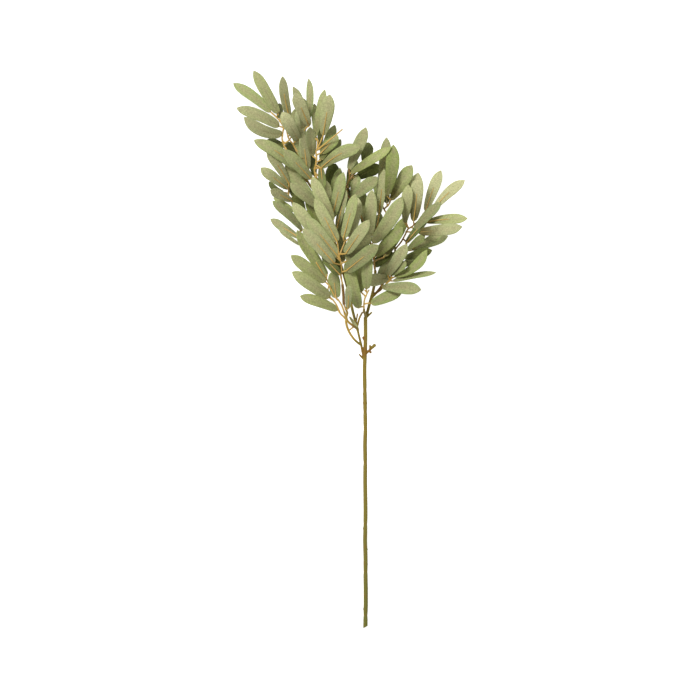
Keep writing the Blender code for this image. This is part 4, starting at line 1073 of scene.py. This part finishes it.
class WILLOW_OT_sprays(bpy.types.Operator):
    """Build the cloth leaves, and the twigs with their stalks and ribs, of every spray"""
    bl_idname = "willow.sprays"
    bl_label = "Leafy sprays"

    def execute(self, context):
        settings = context.scene.willow_leaf
        twig_settings = context.scene.willow_twig
        plain_face = leaf_cloth("polyester_leaf_cloth", settings, True)
        rib_face = leaf_cloth("polyester_leaf_cloth_rib_side", settings, False)
        plastic = moulded_twig(twig_settings)
        dice = random.Random(settings.seed)
        pattern = master_leaf()
        for name, spray in SPRAYS.items():
            blades = [blade for blade in BLADES if blade.spray_name == name]
            leaves = []
            rods = []
            for number, blade in enumerate(blades):
                form = LeafForm(blade, dice)
                leaves.append(lay_leaf(pattern, blade, form))
                rods.append(lay_rib(f"rib_{number}", blade, form, twig_settings.rib_radius))
                count = len(rods[-1].data.vertices)
                set_attribute(rods[-1], "age", np.zeros(count))
            cloth = join(leaves, name + "_leaves")
            cloth.data.materials.append(plain_face)
            cloth.data.materials.append(rib_face)
            activate(cloth)
            bpy.ops.object.shade_smooth()
            thick = cloth.modifiers.new("cloth thickness", "SOLIDIFY")
            thick.thickness = settings.thickness
            thick.offset = 0.0
            thick.material_offset = 1
            bpy.ops.object.modifier_apply(modifier=thick.name)
            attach(cloth, "root")
            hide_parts(name)
            for number, twig in enumerate(spray.twigs):
                rods.append(self.twig(name, number, twig, spray, blades))
            twigs = join(rods, name + "_twigs")
            twigs.data.materials.append(plastic)
            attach(twigs, "root")
            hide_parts(name)
        bpy.data.objects.remove(pattern)
        return {"FINISHED"}

    def twig(self, name, number, twig, spray, blades):
        """A twig, a little thicker at each leaf that it carries."""
        line = smooth_line(line_points(twig, spray.carries.get(number)), TWIG_STEPS)
        radii = spread(TWIG_RADIUS * SLIMMER, TWIG_TIP_RADIUS * SLIMMER, len(line))
        for i, point in enumerate(line):
            near = min((point - blade.root).length for blade in blades)
            radii[i] *= 1 + KNOT_SWELL * math.exp(-(near / KNOT_REACH) ** 2)
            if self.in_sleeve(name, point):
                radii[i] *= SLEEVE_SWELL
        rod = tube(f"{name}_twig_{number}", line, radii, TWIG_ROUND)
        age = TWIG_AGE.get(name, 0.0)
        ages = [1.0 if self.in_sleeve(name, vert.co) else age for vert in rod.data.vertices]
        set_attribute(rod, "age", ages)
        return rod

    @staticmethod
    def in_sleeve(name, point):
        """Whether a point of the named spray is on the sleeve."""
        return name == SLEEVED_SPRAY and plan(0, SLEEVE_ROWS[1]).y < point.y < plan(0, SLEEVE_ROWS[0]).y


class WILLOW_OT_stem(bpy.types.Operator):
    """Build the cut stem with its arms, stubs and buds"""
    bl_idname = "willow.stem"
    bl_label = "Cut stem"

    def execute(self, context):
        settings = context.scene.willow_stem
        rods = []
        for number, arm in enumerate(ARMS):
            points = line_points(arm.points, arm.carries)
            if number == 0:
                points[0] = points[0] + Vector((0.0, -CUT_EXTRA * STEP, 0.0))
                line = [self.strayed(point) for point in smooth_line(points, STEM_STEPS)]
            else:
                line = smooth_line(points, TWIG_STEPS)
            fill = STEM_FILL if number == 0 else ARM_FILL
            radii = [radius + fill for radius in spread(arm.start_radius, arm.end_radius, len(line))]
            if number == 0:
                radii = [radius * self.neck(point) for radius, point in zip(radii, line)]
            elif arm.carries == "spray_top":
                radii = [radius - self.fork_thin(point) for radius, point in zip(radii, line)]
            rods.append(tube(f"arm_{number}", line, radii, STEM_ROUND))
        for number, (start, end, radius) in enumerate(STUBS):
            line = smooth_line([plan(*start), plan(*end)], STUB_STEPS)
            radii = [radius * share + STUB_FILL for share in STUB_SHARES]
            rods.append(tube(f"stub_{number}", line, radii, STUB_ROUND))
        for number, (u, v, side) in enumerate(STEM_BUMPS):
            height = self.height_at(v)
            foot = plan(u - BUMP_INWARD * side, v + BUMP_DOWN, height)
            line = smooth_line([foot, plan(u, v - BUMP_UP, height)], BUMP_STEPS)
            radii = [BUMP_RADIUS] * BUMP_STEPS + [BUMP_RADIUS * BUMP_END]
            rods.append(tube(f"bump_{number}", line, radii, STUB_ROUND))
        stem = join(rods, "main_stem_bark")
        stem.data.materials.append(moulded_bark(settings))
        merge = stem.modifiers.new("one skin", "REMESH")
        merge.mode = "VOXEL"
        merge.voxel_size = settings.voxel
        merge.use_smooth_shade = True
        bpy.ops.object.modifier_apply(modifier=merge.name)
        even = stem.modifiers.new("even", "SMOOTH")
        even.factor = 0.5
        even.iterations = 3
        bpy.ops.object.modifier_apply(modifier=even.name)
        self.cut_end(stem)
        self.paint(stem)
        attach(stem, "root")
        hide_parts("main_stem")
        self.bract(context.scene.willow_leaf)
        return {"FINISHED"}

    @staticmethod
    def paint(stem):
        """Sets how brown, tan or deep green each point of the stem is."""
        count = len(stem.data.vertices)
        places = np.empty(count * 3)
        stem.data.vertices.foreach_get("co", places)
        places = places.reshape(-1, 3)
        for name, spots in STEM_PAINT.items():
            paint = np.zeros(count)
            for u, v, reach, amount in spots:
                middle = plan(u, v)
                far = np.hypot(places[:, 0] - middle.x, places[:, 1] - middle.y) / (reach * STEP)
                paint = np.maximum(paint, amount * np.exp(-far ** 4))
            if name == "ring":
                for row in STEM_RINGS:
                    far = np.abs(places[:, 1] - plan(PLAN_MIDDLE_U, row).y)
                    paint = np.maximum(paint, RING_PAINT * np.exp(-(far / RING_PAINT_REACH) ** 2))
            set_attribute(stem, name, paint)

    @staticmethod
    def height_at(v):
        """Height of the middle of the stem at a photograph row, in millimetres."""
        rows = [(point[1], point[2]) for point in reversed(ARMS[0].points)]
        return float(np.interp(v, [row[0] for row in rows], [row[1] for row in rows]))

    @staticmethod
    def cut_end(stem):
        """Cuts the lower end of the stem slantwise, its left side the longer."""
        activate(stem)
        bpy.ops.object.mode_set(mode="EDIT")
        bpy.ops.mesh.select_all(action="SELECT")
        bpy.ops.mesh.bisect(plane_co=plan(*CUT_PLACE), plane_no=CUT_NORMAL, use_fill=True, clear_outer=True)
        bpy.ops.object.mode_set(mode="OBJECT")

    @staticmethod
    def bract(settings):
        """The small green bract leaf that stands at the fork of the left arm."""
        start = plan(*BRACT_FOOT)
        end = plan(*BRACT_TIP)
        end.z = start.z + BRACT_RISE
        along = end - start
        side = along.cross(Vector((0.0, 0.0, 1.0))).normalized()
        deselect_all()
        bpy.ops.mesh.primitive_grid_add(x_subdivisions=BRACT_GRID[0], y_subdivisions=BRACT_GRID[1], size=2.0,
                                        location=(0.0, 0.0, 0.0))
        bract = bpy.context.object
        bract.name = "main_stem_bract"
        for vert in bract.data.vertices:
            t = (vert.co.y + 1) / 2
            across = vert.co.x
            half = BRACT_HALF * float(np.interp(t, BRACT_STOPS, BRACT_SHARES))
            lift = BRACT_CUP * abs(across) + BRACT_LIFT
            vert.co = start + along * t + side * across * half + Vector((0.0, 0.0, lift))
        bract.data.materials.append(leaf_cloth("polyester_bract_cloth", settings, True))
        count = len(bract.data.vertices)
        for name, value in (("tone", 1.0), ("green", 1.0), ("dye", 0.0)):
            set_attribute(bract, name, np.full(count, value))
        thick = bract.modifiers.new("cloth thickness", "SOLIDIFY")
        thick.thickness = settings.thickness
        thick.offset = 0.0
        bpy.ops.object.modifier_apply(modifier=thick.name)
        bpy.ops.object.shade_smooth()
        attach(bract, "root")
        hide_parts("main_stem")

    @staticmethod
    def neck(point):
        """How much narrower the stem is here than its plain radius."""
        most = 0.0
        for row in STEM_RINGS:
            far = abs(point.y - plan(PLAN_MIDDLE_U, row).y)
            most = max(most, RING_NECK * math.exp(-(far / RING_HALF_LENGTH) ** 2))
        return 1 - most

    @staticmethod
    def fork_thin(point):
        """How much is taken off the radius of an arm at the fork."""
        row = PLAN_MIDDLE_V - point.y / STEP
        return FORK_THIN if FORK_ROWS[0] < row < FORK_ROWS[1] else 0.0

    @staticmethod
    def strayed(point):
        """A point of the stem's line, moved to the side as the stem strays there."""
        row = PLAN_MIDDLE_V - point.y / STEP
        return point + Vector((float(np.interp(row, STRAY_ROWS, STRAY)) * STEP, 0.0, STEM_LIFT))


class WILLOW_OT_stage(bpy.types.Operator):
    """Build the pale floor, the soft studio light and the camera"""
    bl_idname = "willow.stage"
    bl_label = "Stage"

    def execute(self, context):
        settings = context.scene.willow_stage
        scene = context.scene
        deselect_all()
        bpy.ops.mesh.primitive_plane_add(size=FLOOR_SIZE, location=(0.0, 0.0, FLOOR_HEIGHT))
        floor = context.object
        floor.name = "floor"
        material, tree, shader = new_material("opal_acrylic_light_table")
        shader.inputs["Base Color"].default_value = rgba(settings.floor_colour)
        shader.inputs["Roughness"].default_value = 0.9
        # Lit a little from below, as a table for pack shots is, so that shadows stay pale
        shader.inputs["Emission Color"].default_value = (1.0, 1.0, 1.0, 1.0)
        shader.inputs["Emission Strength"].default_value = settings.floor_glow
        floor.data.materials.append(material)

        world = bpy.data.worlds.new("studio")
        world.use_nodes = True
        sky = world.node_tree.nodes["Background"]
        sky.inputs["Color"].default_value = rgba(SKY_COLOUR)
        sky.inputs["Strength"].default_value = SKY_STRENGTH
        scene.world = world

        bpy.ops.object.light_add(type="SUN", location=KEY_PLACE)
        key = context.object
        key.name = "key_light"
        key.data.energy = KEY_STRENGTH
        key.data.angle = KEY_ANGLE
        key.rotation_euler = (-Vector(KEY_FROM)).to_track_quat("-Z", "Y").to_euler()

        distance = settings.camera_distance
        picture = settings.picture_pixels * STEP
        middle = plan(PLAN_MIDDLE_U, settings.picture_pixels / 2)
        bpy.ops.object.camera_add(location=(middle.x, middle.y, distance), rotation=(0.0, 0.0, 0.0))
        camera = context.object
        camera.data.sensor_width = 36.0
        camera.data.lens = camera.data.sensor_width * (distance - HEAD_HEIGHT) / picture
        camera.data.clip_start = 0.1
        camera.data.clip_end = 100.0
        scene.camera = camera
        scene.view_settings.view_transform = "Standard"
        return {"FINISHED"}


class WILLOW_PT_panel(bpy.types.Panel):
    """Settings and steps of the willow stem"""
    bl_idname = "WILLOW_PT_panel"
    bl_label = "Willow stem"
    bl_space_type = "VIEW_3D"
    bl_region_type = "UI"
    bl_category = "Willow"

    def draw(self, context):
        for group in (context.scene.willow_leaf, context.scene.willow_twig, context.scene.willow_stem,
                      context.scene.willow_stage):
            box = self.layout.box()
            for key in group.__annotations__:
                box.prop(group, key)
        for operator in (WILLOW_OT_stem, WILLOW_OT_sprays, WILLOW_OT_stage):
            self.layout.operator(operator.bl_idname)


CLASSES = (WillowLeafSettings, WillowTwigSettings, WillowStemSettings, WillowStageSettings,
           WILLOW_OT_sprays, WILLOW_OT_stem, WILLOW_OT_stage, WILLOW_PT_panel)


def register():
    for each in CLASSES:
        bpy.utils.register_class(each)
    bpy.types.Scene.willow_leaf = bpy.props.PointerProperty(type=WillowLeafSettings)
    bpy.types.Scene.willow_twig = bpy.props.PointerProperty(type=WillowTwigSettings)
    bpy.types.Scene.willow_stem = bpy.props.PointerProperty(type=WillowStemSettings)
    bpy.types.Scene.willow_stage = bpy.props.PointerProperty(type=WillowStageSettings)


def unregister():
    del bpy.types.Scene.willow_stage
    del bpy.types.Scene.willow_stem
    del bpy.types.Scene.willow_twig
    del bpy.types.Scene.willow_leaf
    for each in reversed(CLASSES):
        bpy.utils.unregister_class(each)


def settled_blades():
    """All the leaves, settled clear of each other and of the twigs and arms."""
    blades = [Blade(row, name, spray) for name, spray in SPRAYS.items() for row in spray.leaves]
    rods = []
    for name, spray in SPRAYS.items():
        for number, twig in enumerate(spray.twigs):
            rods.append((line_points(twig, spray.carries.get(number)), TWIG_RADIUS, spray.rank, name))
    for arm in ARMS:
        rods.append((line_points(arm.points, arm.carries), max(arm.start_radius, arm.end_radius), arm.rank,
                     "main_stem"))
    settle(blades, rods)
    return blades


BLADES = []


def main():
    register()
    BLADES.extend(settled_blades())
    bpy.ops.willow.stem()
    bpy.ops.willow.sprays()
    bpy.ops.willow.stage()


if __name__ == "__main__":
    main()
